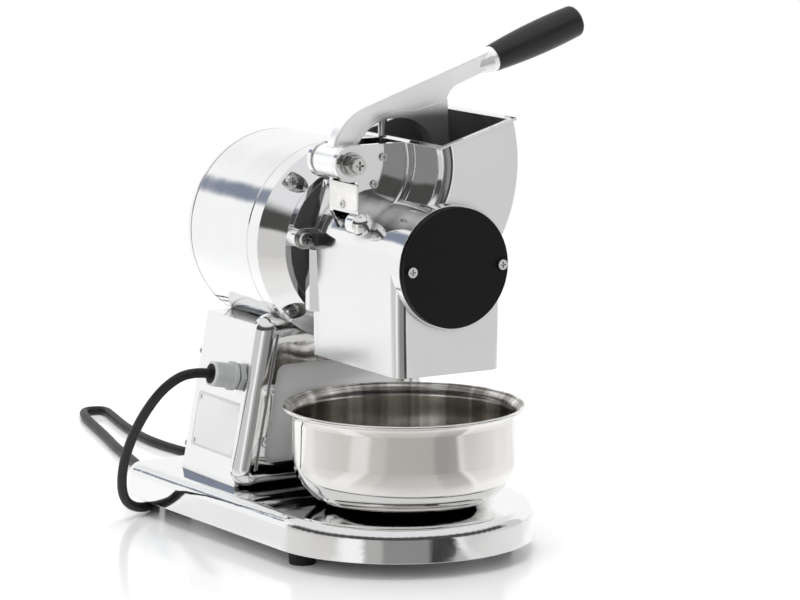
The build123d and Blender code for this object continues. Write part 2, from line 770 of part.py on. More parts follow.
# Head casting: drum housing, chute, feed mouth, rear rim and the two cheeks of the lever pivot
with BuildPart() as grating_head:
    rod(along_depth(), head_radius, disc_thickness, head_rear)
    add(chute_block.part)
    add(rear_plate.part)
    add(mouth_block.part)
    lip_step = degrees(lip_thickness / mouth_outer)
    with BuildSketch(depth(mouth_front - lip_overhang)):
        add(sector(mouth_inner - lip_overhang, mouth_outer + lip_overhang, rim_angle - lip_step, rim_angle))
    extrude(amount=mouth_front - mouth_back - 2 * lip_overhang)
    with BuildSketch(depth(head_rear - rear_rim_thickness)):
        Circle(head_radius + rear_rim)
        add(sector(mouth_inner - rear_rim, mouth_outer + rear_rim, mouth_floor_angle, rim_angle))
        with BuildLine():
            brow = (rear_brow_x, rear_brow_z)
            Polyline((-rear_plate_half, rear_plate_high), brow, (0, rear_brow_z), (0, 0), close=True)
        make_face()
    extrude(amount=-rear_rim_thickness)
    rod(along_depth(), hub_radius, head_rear, ear_rear)
    with BuildSketch(depth(ear_front)):
        with Locations((0, ear_z)):
            SlotCenterToCenter(2 * ear_x, 2 * ear_radius)
    extrude(amount=ear_front - ear_rear)
    add(seam_bead.part)
    seam_angles = (rim_angle - lip_step, 0, mouth_floor_angle / 4, mouth_floor_angle / 2)
    add(shoulder.part)
    with Locations((plate_toe[0] + bridge_size[0] / 2, lever_mid, shield_screw_z)):
        Box(bridge_size[0], cheek_front - plate_rear, bridge_size[1])
    for start in (plate_front, cheek_front):
        with BuildSketch(depth(start)):
            with Locations((pivot_x, pivot_z)):
                Circle(eye_radius)
            with BuildLine():
                Polyline(
                    (pivot_x, pivot_z + eye_radius),
                    *[around_pivot(mouth_inner + head_wall / 2, angle) for angle in seam_angles],
                    (0, bore_radius + head_wall / 2),
                    plate_heel,
                    plate_toe,
                    (plate_toe[0], pivot_z),
                    close=True,
                )
            make_face()
        extrude(amount=-plate_thickness)
    rod(along_depth(), bore_radius, 0, drum_wall_front, Mode.SUBTRACT)
    with BuildSketch(depth(mouth_front + head_wall)):
        add(sector(mouth_inner + head_wall, mouth_outer - head_wall, mouth_floor_angle, rim_angle + lip_step))
    extrude(amount=mouth_front + 2 * head_wall - mouth_back, mode=Mode.SUBTRACT)
    with BuildSketch(depth(chute_front + head_wall)):
        add(chute_outline(head_wall))
    extrude(amount=chute_front + head_wall - drum_wall_front, mode=Mode.SUBTRACT)
    for x in (-disc_screw_x, disc_screw_x):
        rod(along_depth(x), disc_lug_radius, disc_thickness, disc_thickness + disc_lug_length)
        rod(along_depth(x), disc_screw_radius + bolt_fit, 0, disc_thickness + disc_lug_length, Mode.SUBTRACT)
    rod(along_depth(), seal_radius + bolt_fit, drum_wall_front, ear_rear, Mode.SUBTRACT)
    for x in (-ear_x, ear_x):
        rod(along_depth(x, ear_z), head_bolt_radius + bolt_fit, ear_front, ear_rear, Mode.SUBTRACT)
    rod(along_depth(pivot_x, pivot_z), pivot_radius + bolt_fit, plate_front, cheek_rear, Mode.SUBTRACT)
    for x, z in switch_screws:
        rod(along_depth(x, z), small_screw_radius + bolt_fit, plate_front, plate_rear, Mode.SUBTRACT)
    rod(shield_seat, small_screw_radius + bolt_fit, 0, plate_thickness + shield_thickness, Mode.SUBTRACT)

# Bolts and washers that hold the head to the motor flange
with BuildPart() as head_bolts:
    for x in (-ear_x, ear_x):
        seat = along_depth(x, ear_z).offset(ear_front - head_washer_thickness)
        screw(seat, head_bolt_radius, head_bolt_reach, head_bolt_head, head_bolt_head_height)
with BuildPart() as head_washers:
    for x in (-ear_x, ear_x):
        washer_front = ear_front - head_washer_thickness
        rod(along_depth(x, ear_z), head_washer_radius, washer_front, ear_front)
        rod(along_depth(x, ear_z), head_bolt_radius + bolt_fit, washer_front, ear_front, Mode.SUBTRACT)

# Lip seal around the shaft in the back wall of the head
with BuildPart() as shaft_seal:
    seal_start = drum_rear + shaft_collar_length + side_play
    rod(along_depth(), seal_radius, seal_start, seal_start + seal_length)
    rod(along_depth(), shaft_radius + running_fit, seal_start, seal_start + seal_length, Mode.SUBTRACT)

# Black disc that closes the drum housing, and its two screws
with BuildPart() as drum_cover:
    rod(along_depth(), disc_radius, 0, disc_thickness)
    fillet(drum_cover.edges().group_by(Axis.Y)[0], seam_chamfer)
    for x in (-disc_screw_x, disc_screw_x):
        rod(along_depth(x), disc_screw_radius + bolt_fit, 0, disc_thickness, Mode.SUBTRACT)
with BuildPart() as drum_cover_screws:
    for x in (-disc_screw_x, disc_screw_x):
        reach = disc_thickness + disc_screw_reach
        screw(along_depth(x), disc_screw_radius, reach, disc_screw_head, disc_screw_head_height)

# Pivot bolt with a hex collar and a round head, its washer and its nut
with BuildPart() as pivot_bolt:
    collar_front = plate_front - pivot_washer_thickness - collar_height
    pivot_end = cheek_rear + pivot_nut_height
    rod(along_depth(pivot_x, pivot_z), pivot_radius, collar_front, pivot_end)
    with BuildSketch(depth(collar_front + collar_height)):
        with Locations((pivot_x, pivot_z)):
            RegularPolygon(collar_flats / 2, 6, major_radius=False)
    extrude(amount=collar_height)
    seat = along_depth(pivot_x, pivot_z).offset(collar_front)
    screw(seat, pivot_radius, collar_height, pivot_head_radius, pivot_head_height)
with BuildPart() as pivot_washer:
    washer_front = plate_front - pivot_washer_thickness
    rod(along_depth(pivot_x, pivot_z), pivot_washer_radius, washer_front, plate_front)
    rod(along_depth(pivot_x, pivot_z), pivot_radius + bolt_fit, washer_front, plate_front, Mode.SUBTRACT)
with BuildPart() as pivot_nut:
    with BuildSketch(depth(cheek_rear)):
        with Locations((pivot_x, pivot_z)):
            RegularPolygon(collar_flats / 2, 6, major_radius=False)
            Circle(pivot_radius + bolt_fit, mode=Mode.SUBTRACT)
    extrude(amount=-pivot_nut_height)

# Presser lever: hub, flat arm with a rounded top, arched rib, strut, shoe that fits the drum, socket and tang
arm_turn = radians(arm_angle)
arm_start = (bend_center[0] - bend_radius * sin(arm_turn), bend_center[1] + bend_radius * cos(arm_turn))
grip_plane = Plane(
    origin=(grip_start[0], lever_mid, grip_start[1]),
    x_dir=(cos(radians(grip_angle)), 0, sin(radians(grip_angle))),
    z_dir=(0, -1, 0),
)
grip_axis = Plane(origin=grip_plane.origin, z_dir=grip_plane.x_dir)
socket_back = grip_plane.from_local_coords((-socket_collar, 0, 0))
arm_run = (socket_back.X - arm_start[0]) / cos(arm_turn)


def in_socket(height):
    """Point half way along the socket, at a height over its axis, seen from the front."""
    point = grip_plane.from_local_coords((-socket_length / 2, height, 0))
    return (point.X, point.Z)


socket_middle = in_socket(0)
socket_under = in_socket(-socket_web)


def on_top_line(edge):
    """Whether an edge of the lever runs along the outside of its bend or the top of its arm."""
    middle = edge @ 0.5
    x = middle.X - bend_center[0]
    z = middle.Z - bend_center[1]
    over_arm = z * cos(arm_turn) - x * sin(arm_turn)
    return abs(hypot(x, z) - bend_radius) < running_fit or abs(over_arm - bend_radius) < running_fit


with BuildPart() as presser_lever:
    hub_front = plate_rear + side_play
    rod(along_depth(pivot_x, pivot_z), lever_hub_radius, hub_front, hub_front + hub_length)
    strut_foot_inner = around_pivot(strut_inner, shoe_top_angle)
    strut_foot_outer = around_pivot(strut_outer, shoe_top_angle)
    with BuildSketch(depth(lever_mid - web_width / 2)):
        with BuildLine():
            bend = CenterArc(bend_center, bend_radius, 90 + arm_angle, bend_end_angle - 90 - arm_angle)
            arm_end = (arm_start[0] + arm_run * cos(arm_turn), arm_start[1] + arm_run * sin(arm_turn))
            Polyline(bend @ 0, arm_end, socket_middle, socket_under, throat_end)
            ThreePointArc(throat_end, throat_mid, strut_shoulder)
            Line(strut_shoulder, rib_crown)
            ThreePointArc(rib_crown, rib_rise, arch_foot)
            Line(arch_foot, (pivot_x, pivot_z))
            Line((pivot_x, pivot_z), bend @ 1)
        make_face()
    extrude(amount=-web_width)
    for y in (lever_mid - web_width / 2, lever_mid + web_width / 2):
        fillet(presser_lever.edges().filter_by_position(Axis.Y, y, y).filter_by(on_top_line), web_round)
    with BuildSketch(depth(lever_mid - rib_width / 2)):
        with BuildLine():
            ThreePointArc(arch_foot, rib_rise, rib_crown)
            Line(rib_crown, strut_shoulder)
            Line(strut_shoulder, strut_foot_outer)
            Line(strut_foot_outer, strut_foot_inner)
            fall = ThreePointArc(arch_crown, arch_fall, around_pivot(strut_inner, 0))
            Line(strut_foot_inner, fall @ 1)
            ThreePointArc(arch_crown, arch_rise, around_pivot(lever_hub_radius, arch_root_angle))
            Line(around_pivot(lever_hub_radius, arch_root_angle), arch_foot)
        make_face()
    extrude(amount=-rib_width)
    rod(upright(magnet_x, lever_mid), magnet_radius + bolt_fit, pivot_z, magnet_top, Mode.SUBTRACT)
    with Locations(grip_axis.offset(-socket_length)):
        taper = socket_length - socket_collar
        Cone(web_width / 2, socket_radius, taper, align=(Align.CENTER, Align.CENTER, Align.MIN))
    rod(grip_axis, socket_radius, -socket_collar, 0)
    rod(grip_axis, tang_radius, 0, tang_length)
    shoe_front = mouth_front + head_wall + shoe_play
    with BuildSketch(depth(shoe_front)):
        add(
            sector(
                mouth_inner + head_wall + shoe_play,
                mouth_outer - head_wall - shoe_play,
                mouth_floor_angle,
                shoe_top_angle,
            )
        )
    extrude(amount=shoe_front + head_wall + shoe_play - mouth_back)
    rod(along_depth(), drum_radius + shoe_drum_gap, 0, head_rear, Mode.SUBTRACT)
    bush_radius = pivot_radius + running_fit + bush_wall
    hub_rear = hub_front + hub_length
    rod(along_depth(pivot_x, pivot_z), bush_radius + bolt_fit, hub_front, hub_rear, Mode.SUBTRACT)

# Bronze bush in the lever hub
with BuildPart() as lever_bush:
    rod(along_depth(pivot_x, pivot_z), bush_radius, hub_front, hub_rear)
    bush_bore = pivot_radius + running_fit
    rod(along_depth(pivot_x, pivot_z), bush_bore, hub_front, hub_rear, Mode.SUBTRACT)

# Moulded grip, thickest past its middle, on the lever's tang
with BuildPart() as lever_grip:
    with BuildSketch(grip_plane):
        with BuildLine():
            side = ThreePointArc(
                (0, grip_root_radius),
                (grip_belly_share * grip_length, grip_belly_radius),
                (grip_length, grip_tip_radius),
            )
            Polyline(side @ 1, (grip_length, 0), (0, 0), side @ 0)
        make_face()
    revolve(axis=Axis(grip_plane.origin, grip_plane.x_dir))
    fillet(lever_grip.edges().sort_by(Axis.X)[-1], grip_tip_round)
    rod(grip_axis, tang_radius + bolt_fit, 0, tang_length, Mode.SUBTRACT)

# Magnet peg under the arch, over the safety switch
with BuildPart() as lever_magnet:
    rod(upright(magnet_x, lever_mid), magnet_radius, pivot_z + eye_radius + magnet_lift, magnet_top)
    fillet(lever_magnet.edges().sort_by(Axis.Z)[0], magnet_round)

# Safety switch behind the pivot plate, with its two screws
with BuildPart() as safety_switch:
    with Locations((switch_center[0], plate_rear + switch_size[1] / 2, switch_center[1])):
        Box(*switch_size)
    rod(upright(magnet_x, lever_mid), switch_dome_radius, switch_center[1], switch_dome_top)
    fillet(safety_switch.edges().sort_by(Axis.Z)[-1], switch_dome_radius / 2)
    for x, z in switch_screws:
        hole = small_screw_radius + bolt_fit
        rod(along_depth(x, z), hole, plate_rear, plate_rear + plate_thickness, Mode.SUBTRACT)
with BuildPart() as safety_switch_screws:
    for x, z in switch_screws:
        seat = along_depth(x, z).offset(plate_front)
        screw(seat, small_screw_radius, 2 * plate_thickness, small_screw_head, small_screw_head_height)

# Stainless shield on the left edges of the cheeks, with its screw
with BuildPart() as switch_shield:
    with BuildSketch(shield_seat):
        with Locations((0, shield_height / 2 - shield_screw_rise)):
            RectangleRounded(shield_width, shield_height, 2 * shield_thickness)
        Circle(small_screw_radius + bolt_fit, mode=Mode.SUBTRACT)
    extrude(amount=shield_thickness)
with BuildPart() as shield_fastener:
    screw(shield_seat, small_screw_radius, plate_thickness, small_screw_head, small_screw_head_height)

# Rubber grommet for the safety switch lead on the left of the head
with BuildPart() as wire_grommet:
    with Locations(Plane(origin=(-head_radius, grommet_y, grommet_z), z_dir=(-1, 0, 0))):
        Cylinder(grommet_radius, 2 * grommet_length)
    rod(along_depth(), head_radius + bolt_fit, 0, head_rear, Mode.SUBTRACT)

# Stainless bowl: flat bottom, wide curve, straight wall and a flared rim with a bead
with BuildPart() as bowl:
    flat = bowl_wall_radius - bowl_curve
    flare_start = bowl_curve + bowl_straight
    rim_slope = (bowl_rim_radius - bowl_bead, bowl_height - bowl_bead)
    with BuildSketch(Plane(origin=(0, bowl_y, base_top), x_dir=(1, 0, 0), z_dir=(0, -1, 0))):
        with BuildLine():
            Line((0, 0), (flat, 0))
            outer = CenterArc((flat, bowl_curve), bowl_curve, -90, 90)
            outer_wall = Line(outer @ 1, (bowl_wall_radius, flare_start))
            TangentArc(outer_wall @ 1, rim_slope, tangent=(0, 1))
            inner_rim = (rim_slope[0] - bowl_wall, rim_slope[1])
            Line(rim_slope, inner_rim)
            inner = CenterArc((flat, bowl_curve), bowl_curve - bowl_wall, -90, 90)
            inner_wall = Line(inner @ 1, (bowl_wall_radius - bowl_wall, flare_start))
            TangentArc(inner_wall @ 1, inner_rim, tangent=(0, 1))
            Polyline(inner @ 0, (0, bowl_wall), (0, 0))
        make_face()
        with Locations(rim_slope):
            Circle(bowl_bead)
    revolve(axis=Axis((0, bowl_y, 0), (0, 0, 1)))

# Cable gland on the left side of the pedestal: body with lock nut, dome nut and rubber seal
gland_plane = side_face(-1, gland_y, gland_z)
gland_neck_end = gland_hex_height + gland_neck
gland_flange_end = gland_neck_end + gland_flange_height
gland_end = gland_flange_end + gland_nut_height
with BuildPart() as gland_body:
    with BuildSketch(gland_plane):
        RegularPolygon(gland_flats / 2, 6, major_radius=False)
    extrude(amount=gland_hex_height)
    rod(gland_plane, gland_flange_radius, gland_neck_end, gland_flange_end)
    rod(gland_plane, gland_thread, -body_wall - gland_lock_height, gland_flange_end)
    rod(gland_plane, cord_radius + bolt_fit, -body_wall - gland_lock_height, gland_flange_end, Mode.SUBTRACT)
with BuildPart() as gland_lock_nut:
    with BuildSketch(gland_plane.offset(-body_wall - gland_lock_height)):
        RegularPolygon(gland_lock_flats / 2, 6, major_radius=False, rotation=30)
        Circle(gland_thread + bolt_fit, mode=Mode.SUBTRACT)
    extrude(amount=gland_lock_height)
    split(bisect_by=gland_plane.offset(-body_wall - bolt_fit), keep=Keep.BOTTOM)
with BuildPart() as gland_nut:
    with BuildSketch(gland_plane.offset(gland_flange_end)) as nut_face:
        RegularPolygon(gland_nut_flats / 2, 6, major_radius=False)
        fillet(nut_face.vertices(), gland_nut_corner)
    extrude(amount=gland_nut_height)
    fillet(gland_nut.faces().sort_by(Axis.X)[0].edges(), gland_nut_round)
    rod(gland_plane, gland_thread, gland_flange_end, gland_end, Mode.SUBTRACT)
with BuildPart() as gland_seal:
    rod(gland_plane, gland_thread - bolt_fit, gland_flange_end, gland_end)

# Bare rating plate with four rivets on the left side of the pedestal
rating_plane = side_face(-1, *plate_place)
with BuildPart() as rating_plate:
    with BuildSketch(rating_plane):
        RectangleRounded(*plate_size, rivet_inset / 2)
    extrude(amount=plate_sheet)
with BuildPart() as rating_rivets:
    with BuildSketch(rating_plane.offset(plate_sheet)):
        with GridLocations(plate_size[0] - 2 * rivet_inset, plate_size[1] - 2 * rivet_inset, 2, 2):
            Circle(rivet_radius)
    extrude(amount=rivet_height)

# Switch box with start and stop buttons on the right side of the pedestal
box_plane = side_face(1, *box_place)
button_places = (button_spacing / 2, -button_spacing / 2)


def button_plane(height):
    """Plane of a push button on the switch box, at the box's outer face."""
    place = box_plane.from_local_coords((0, height, box_depth))
    return Plane(origin=place, x_dir=box_plane.x_dir, z_dir=box_plane.z_dir)


with BuildPart() as switch_box:
    with BuildSketch(box_plane):
        RectangleRounded(*box_size, box_round)
    extrude(amount=box_depth)
    fillet(switch_box.faces().sort_by(Axis.X)[-1].edges(), box_round / 2)
    with BuildSketch(box_plane):
        RectangleRounded(box_size[0] - box_round, box_size[1] - box_round, box_round / 2)
    extrude(amount=box_depth - box_round / 2, mode=Mode.SUBTRACT)
    for height in button_places:
        rod(button_plane(height), bezel_radius, -box_round / 2, bezel_height)
        rod(button_plane(height), button_radius + side_play, -box_round / 2, bezel_height, Mode.SUBTRACT)
with BuildPart() as switch_block:
    with BuildSketch(box_plane):
        Rectangle(box_size[0] / 2, box_size[1] - 3 * box_round)
    extrude(amount=box_depth / 2)


def push_button(height):
    """Button cap on a stem that ends over the switch block."""
    with BuildPart() as button:
        rod(button_plane(height), button_radius, -box_round / 2 - button_travel, button_proud)
        fillet(button.edges().sort_by(Axis.X)[-1], button_round)
        rod(button_plane(height), button_stem_radius, button_travel + side_play - box_depth / 2, 0)
    return button


start_button = push_button(button_places[0])
stop_button = push_button(button_places[1])

# Run capacitor and terminal block on the pedestal floor
with BuildPart() as run_capacitor:
    capacitor_line = along_depth(capacitor_x, body_floor + capacitor_radius)
    rod(capacitor_line, capacitor_radius, capacitor_y, capacitor_y + capacitor_length)
with BuildPart() as terminal_block:
    with Locations((terminal_place[0], terminal_place[1], body_floor + terminal_size[2] / 2)):
        Box(*terminal_size)

# Route of the mains lead, chosen by hand: out of the gland, down beside the base, under its rear
# corner, back over the counter to a tight fold, and forward again to the plug behind the machine.
# Its depths are behind the gland
cord_rest = floor + cord_radius
plug_height = floor + plug_radius
cord_drop = [
    (-129.5, 7.5, -103.5),
    (-138.0, 23.5, -124.5),
    (-141.7, 42.0, -150.0),
    (-140.8, 58.5, -176.5),
    (-133.5, 71.3, -199.8),
    (-117.0, 82.0, -211.0),
]
cord_on_counter = [
    (-94.0, 95.0),
    (-78.0, 128.0),
    (-54.0, 183.0),
    (-37.0, 240.0),
    (-25.0, 298.0),
    (-9.0, 355.0),
    (4.0, 407.0),
    (12.0, 437.0),
    (22.0, 463.0),
    (41.0, 458.0),
    (35.0, 431.0),
    (22.0, 379.0),
    (12.0, 308.0),
    (22.0, 236.0),
    (66.0, 186.0),
    (118.0, 184.0),
    (156.0, 218.0),
    (162.0, 270.0),
    (152.0, 318.0),
]
cord_to_plug = [
    (148.0, 351.0, -208.0),
    (147.0, 376.0, plug_height),
    (147.0, 398.0, plug_height),
]
route = [gland_plane.from_local_coords((0, 0, gland_end + lead)) for lead in (0, cord_lead)]
route += [Vector(x, gland_y + y, z) for x, y, z in cord_drop]
route += [Vector(x, gland_y + y, cord_rest) for x, y in cord_on_counter]
route += [Vector(x, gland_y + y, z) for x, y, z in cord_to_plug]
cord_bends = []
for before, corner, after in zip(route, route[1:], route[2:]):
    shorter_run = min((corner - before).length, (after - corner).length)
    turn = radians((corner - before).get_angle(after - corner))
    cord_bends.append(bend_share * shorter_run / tan(turn / 2))
with BuildPart() as mains_cord:
    with BuildLine() as cord_line:
        FilletPolyline(*route, radius=cord_bends)
    with BuildSketch(gland_plane.offset(gland_end)):
        Circle(cord_radius)
    sweep(path=cord_line.wires()[0])
cord_length = cord_line.wires()[0].length
print("bends of the lead", [round(bend, 1) for bend in cord_bends])
print("length of the lead", round(cord_length, 1), "from", route[0], "by", route[1])
cord_section = pi * cord_radius**2
print("volume of the lead", round(mains_cord.part.volume), "against", round(cord_section * cord_length))

# Plug that lies on its side at the end of the lead: tapered neck, round body and two pins
plug_plane = Plane(origin=route[-1], x_dir=(1, 0, 0), z_dir=route[-1] - route[-2])
plug_face = plug_neck_length + plug_length
pin_lines = [
    Plane(origin=plug_plane.from_local_coords((x, 0, 0)), x_dir=plug_plane.x_dir, z_dir=plug_plane.z_dir)
    for x in (-pin_spacing / 2, pin_spacing / 2)
]
with BuildPart() as plug_body:
    rod(plug_plane, plug_radius, plug_neck_length, plug_face)
    fillet(plug_body.edges().group_by(Axis.Y)[0] + plug_body.edges().group_by(Axis.Y)[-1], plug_round)
    with Locations(plug_plane.offset(plug_neck_length / 2)):
        Cone(plug_neck_radius, plug_shoulder_radius, plug_neck_length)
    for line in pin_lines:
        rod(line, pin_radius + bolt_fit, plug_face - pin_seat, plug_face, Mode.SUBTRACT)
with BuildPart() as plug_pins:
    for line in pin_lines:
        rod(line, pin_radius, plug_face - pin_seat, plug_face + pin_length)

PIECES = {
    "base_plate": base_plate,
    "base_cover": base_cover,
    "rubber_feet": rubber_feet,
    "foot_screws": foot_screws,
    "pedestal": pedestal,
    "pedestal_screws": pedestal_screws,
    "back_cover": back_cover,
    "back_cover_screws": back_cover_screws,
    "motor_casing": motor_casing,
    "casing_screws": casing_screws,
    "motor_flange": motor_flange,
    "flange_screws": flange_screws,
    "stator_core": stator_core,
    "stator_windings": stator_windings,
    "front_bearing": front_bearing,
    "rear_bearing": rear_bearing_ring,
    "motor_shaft": motor_shaft,
    "drum_key": drum_key,
    "rotor_core": rotor_core,
    "grating_drum": grating_drum,
    "drum_nut": drum_nut,
    "grating_head": grating_head,
    "head_bolts": head_bolts,
    "head_washers": head_washers,
    "shaft_seal": shaft_seal,
    "drum_cover": drum_cover,
    "drum_cover_screws": drum_cover_screws,
    "pivot_bolt": pivot_bolt,
    "pivot_washer": pivot_washer,
    "pivot_nut": pivot_nut,
    "presser_lever": presser_lever,
    "lever_bush": lever_bush,
    "lever_grip": lever_grip,
    "lever_magnet": lever_magnet,
    "safety_switch": safety_switch,
    "safety_switch_screws": safety_switch_screws,
    "switch_shield": switch_shield,
    "shield_screw": shield_fastener,
    "wire_grommet": wire_grommet,
    "bowl": bowl,
    "gland_body": gland_body,
    "gland_lock_nut": gland_lock_nut,
    "gland_nut": gland_nut,
    "gland_seal": gland_seal,
    "rating_plate": rating_plate,
    "rating_rivets": rating_rivets,
    "switch_box": switch_box,
    "switch_block": switch_block,
    "start_button": start_button,
    "stop_button": stop_button,
    "run_capacitor": run_capacitor,
    "terminal_block": terminal_block,
}

LEAD_PIECES = {
    "mains_cord": mains_cord,
    "plug_body": plug_body,
    "plug_pins": plug_pins,
}

# The machine, without its lead, stands on the origin plane with its box centred on the origin
machine_box = Compound([piece.part for piece in PIECES.values()]).bounding_box()
to_origin = Location((-machine_box.center().X, -machine_box.center().Y, axis_height))
print("moved by", to_origin.position, "machine box", machine_box.size)
os.makedirs("parts", exist_ok=True)
for name, piece in {**PIECES, **LEAD_PIECES}.items():
    placed = piece.part.moved(to_origin)
    placed.label = name
    export_step(placed, f"parts/{name}.step")
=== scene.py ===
"""Looks of the electric grater: camera, mains lead, finishes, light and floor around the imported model."""

import math

import bpy
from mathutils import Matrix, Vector


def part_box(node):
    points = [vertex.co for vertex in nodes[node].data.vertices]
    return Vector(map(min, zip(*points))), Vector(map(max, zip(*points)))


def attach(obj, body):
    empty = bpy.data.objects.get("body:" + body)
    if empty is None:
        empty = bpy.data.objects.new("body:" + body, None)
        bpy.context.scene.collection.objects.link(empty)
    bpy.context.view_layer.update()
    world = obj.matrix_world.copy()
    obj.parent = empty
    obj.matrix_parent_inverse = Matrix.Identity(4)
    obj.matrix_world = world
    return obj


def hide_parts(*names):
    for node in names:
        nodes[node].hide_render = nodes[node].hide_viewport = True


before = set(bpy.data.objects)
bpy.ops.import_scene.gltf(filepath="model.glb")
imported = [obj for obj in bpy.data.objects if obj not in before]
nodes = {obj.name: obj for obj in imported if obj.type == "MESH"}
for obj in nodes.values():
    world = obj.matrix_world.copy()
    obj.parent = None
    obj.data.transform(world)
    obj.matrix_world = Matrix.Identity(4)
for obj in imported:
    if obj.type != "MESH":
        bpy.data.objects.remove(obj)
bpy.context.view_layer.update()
scene = bpy.context.scene

# Camera at the photograph's angle, in metres
CAMERA_PLACE = (-1.3188, -2.2467, 0.5964)
CAMERA_AIM = (-0.0311, -0.0858, 0.1870)
CAMERA_LENS = 160.4
CAMERA_SENSOR = 36.0
CAMERA_REACH = 60.0

# Mains lead, in metres: the route's points, from the gland to the plug
CORD_DIAMETER = 0.0074
CORD_ROUTE = [
    (-0.1161, 0.0442, 0.1210),
    (-0.1333, 0.0442, 0.1244),
    (-0.1501, 0.0517, 0.1135),
    (-0.1586, 0.0678, 0.0925),
    (-0.1623, 0.0862, 0.0670),
    (-0.1614, 0.1027, 0.0405),
    (-0.1541, 0.1156, 0.0172),
    (-0.1376, 0.1263, 0.0060),
    (-0.1146, 0.1393, 0.0037),
    (-0.0986, 0.1722, 0.0037),
    (-0.0746, 0.2273, 0.0037),
    (-0.0576, 0.2843, 0.0037),
    (-0.0456, 0.3422, 0.0037),
    (-0.0296, 0.3992, 0.0037),
    (-0.0166, 0.4512, 0.0037),
    (-0.0086, 0.4813, 0.0037),
    (0.0014, 0.5072, 0.0037),
    (0.0204, 0.5022, 0.0037),
    (0.0144, 0.4753, 0.0037),
    (0.0014, 0.4233, 0.0037),
    (-0.0086, 0.3523, 0.0037),
    (0.0014, 0.2802, 0.0037),
    (0.0454, 0.2303, 0.0037),
    (0.0974, 0.2283, 0.0037),
    (0.1354, 0.2622, 0.0037),
    (0.1414, 0.3142, 0.0037),
    (0.1314, 0.3623, 0.0037),
    (0.1274, 0.3952, 0.0090),
    (0.1264, 0.4203, 0.0185),
    (0.1264, 0.4422, 0.0185),
]

# Feed mouth, in metres: the pivot that it bends about, and where its inner faces start and end
PIVOT_X = -0.0726
PIVOT_Z = 0.2875
MOUTH_NEAR = (0.0500, 0.0510)
MOUTH_FAR = (0.1088, 0.1078)
MOUTH_FRONT = (-0.1327, -0.1317)
MOUTH_BACK = (-0.0205, -0.0215)
MOUTH_RIM = (0.3190, 0.3150)
MOUTH_LEFT = (-0.0420, -0.0400)
MOUTH_FLOOR = (0.2420, 0.2440)
CHUTE_TOP = (0.2360, 0.2300)
CHUTE_BOTTOM = (0.1350, 0.1390)

# Part of the lever that dips into the mouth, in metres, and how far it is darkened there as painted shade
# and dark reflection
DIP_TOP = (0.3240, 0.3150)
DIP_LEFT = (-0.0520, -0.0360)
DIP_SHADE_SHARE = 0.85

# Satin faces of the castings, in metres: the front panel of the pedestal and the inside of the flange
PANEL_FRONT = (0.0218, 0.0222)
PANEL_BACK = (0.0246, 0.0242)
DRIVE_X = -0.0206
DRIVE_Z = 0.2170
BELL_REACH = (0.0570, 0.0564)
BELL_FRONT = (-0.0079, -0.0073)

# Wall of the bowl, in metres from its middle: where the upright stripes of painted reflection start and
# where they are full
BOWL_WALL = (0.048, 0.076)

# Roughness of the castings where they aren't polished
GROUND_ROUGHNESS = 0.22
SATIN_ROUGHNESS = 0.42
DULL_ROUGHNESS = 0.48

# Burrs of the grating drum, in metres
BURR_ROWS = 20
BURRS_ROUND = 40
BURR_LENGTH = 0.0034
BURR_WIDTH = 0.0028
BURR_HEIGHT = 0.00105
BURR_ROOT = 0.0003
BURR_LEAN = 0.3
DRUM_MARGIN = 0.005


def make_camera():
    """Camera at the photograph's place, looking at the machine."""
    data = bpy.data.cameras.new("camera")
    data.lens = CAMERA_LENS
    data.sensor_width = CAMERA_SENSOR
    data.clip_end = CAMERA_REACH
    camera = bpy.data.objects.new("camera", data)
    camera.location = CAMERA_PLACE
    sight = Vector(CAMERA_AIM) - Vector(CAMERA_PLACE)
    camera.rotation_euler = sight.to_track_quat("-Z", "Y").to_euler()
    scene.collection.objects.link(camera)
    scene.camera = camera


def make_lead():
    """Mains lead as one smooth curve along its route."""
    curve = bpy.data.curves.new("mains_lead", "CURVE")
    curve.dimensions = "3D"
    curve.bevel_depth = 1.0
    curve.bevel_resolution = 6
    curve.resolution_u = 16
    curve.use_fill_caps = True
    spline = curve.splines.new("NURBS")
    spline.points.add(len(CORD_ROUTE) - 1)
    for point, place in zip(spline.points, CORD_ROUTE):
        point.co = (*place, 1.0)
        point.radius = CORD_DIAMETER / 2
    spline.order_u = 3
    spline.use_endpoint_u = True
    lead = bpy.data.objects.new("mains_lead", curve)
    scene.collection.objects.link(lead)
    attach(lead, "stand")
    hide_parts("mains_cord")
    return lead


def make_burrs():
    """Rows of small leaning burrs on the grating drum, each row set off from the one before it."""
    low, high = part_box("grating_drum")
    centre = (low + high) / 2
    radius = (high[0] - low[0]) / 2
    pitch = 2 * math.pi / BURRS_ROUND
    half_turn = BURR_LENGTH / radius / 2
    corners = ((-half_turn, -0.5), (half_turn, -0.5), (half_turn, 0.5), (-half_turn, 0.5))
    places = []
    faces = []
    for row in range(BURR_ROWS):
        depth = low[1] + DRUM_MARGIN + (high[1] - low[1] - 2 * DRUM_MARGIN) * row / (BURR_ROWS - 1)
        for number in range(BURRS_ROUND):
            turn = pitch * (number + row % 2 / 2)
            first = len(places)
            root = radius - BURR_ROOT
            points = [(turn + part, depth + side * BURR_WIDTH, root) for part, side in corners]
            points.append((turn + BURR_LEAN * half_turn, depth, radius + BURR_HEIGHT))
            for angle, y, reach in points:
                across = centre[0] + reach * math.cos(angle)
                height = centre[2] + reach * math.sin(angle)
                places.append((across, y, height))
            tip = first + len(corners)
            faces.append((first, first + 1, first + 2, first + 3))
            faces.extend((first + (side + 1) % 4, first + side, tip) for side in range(4))
    mesh = bpy.data.meshes.new("drum_burrs")
    mesh.from_pydata(places, [], faces)
    burrs = bpy.data.objects.new("drum_burrs", mesh)
    scene.collection.objects.link(burrs)
    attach(burrs, "drum")
    return burrs


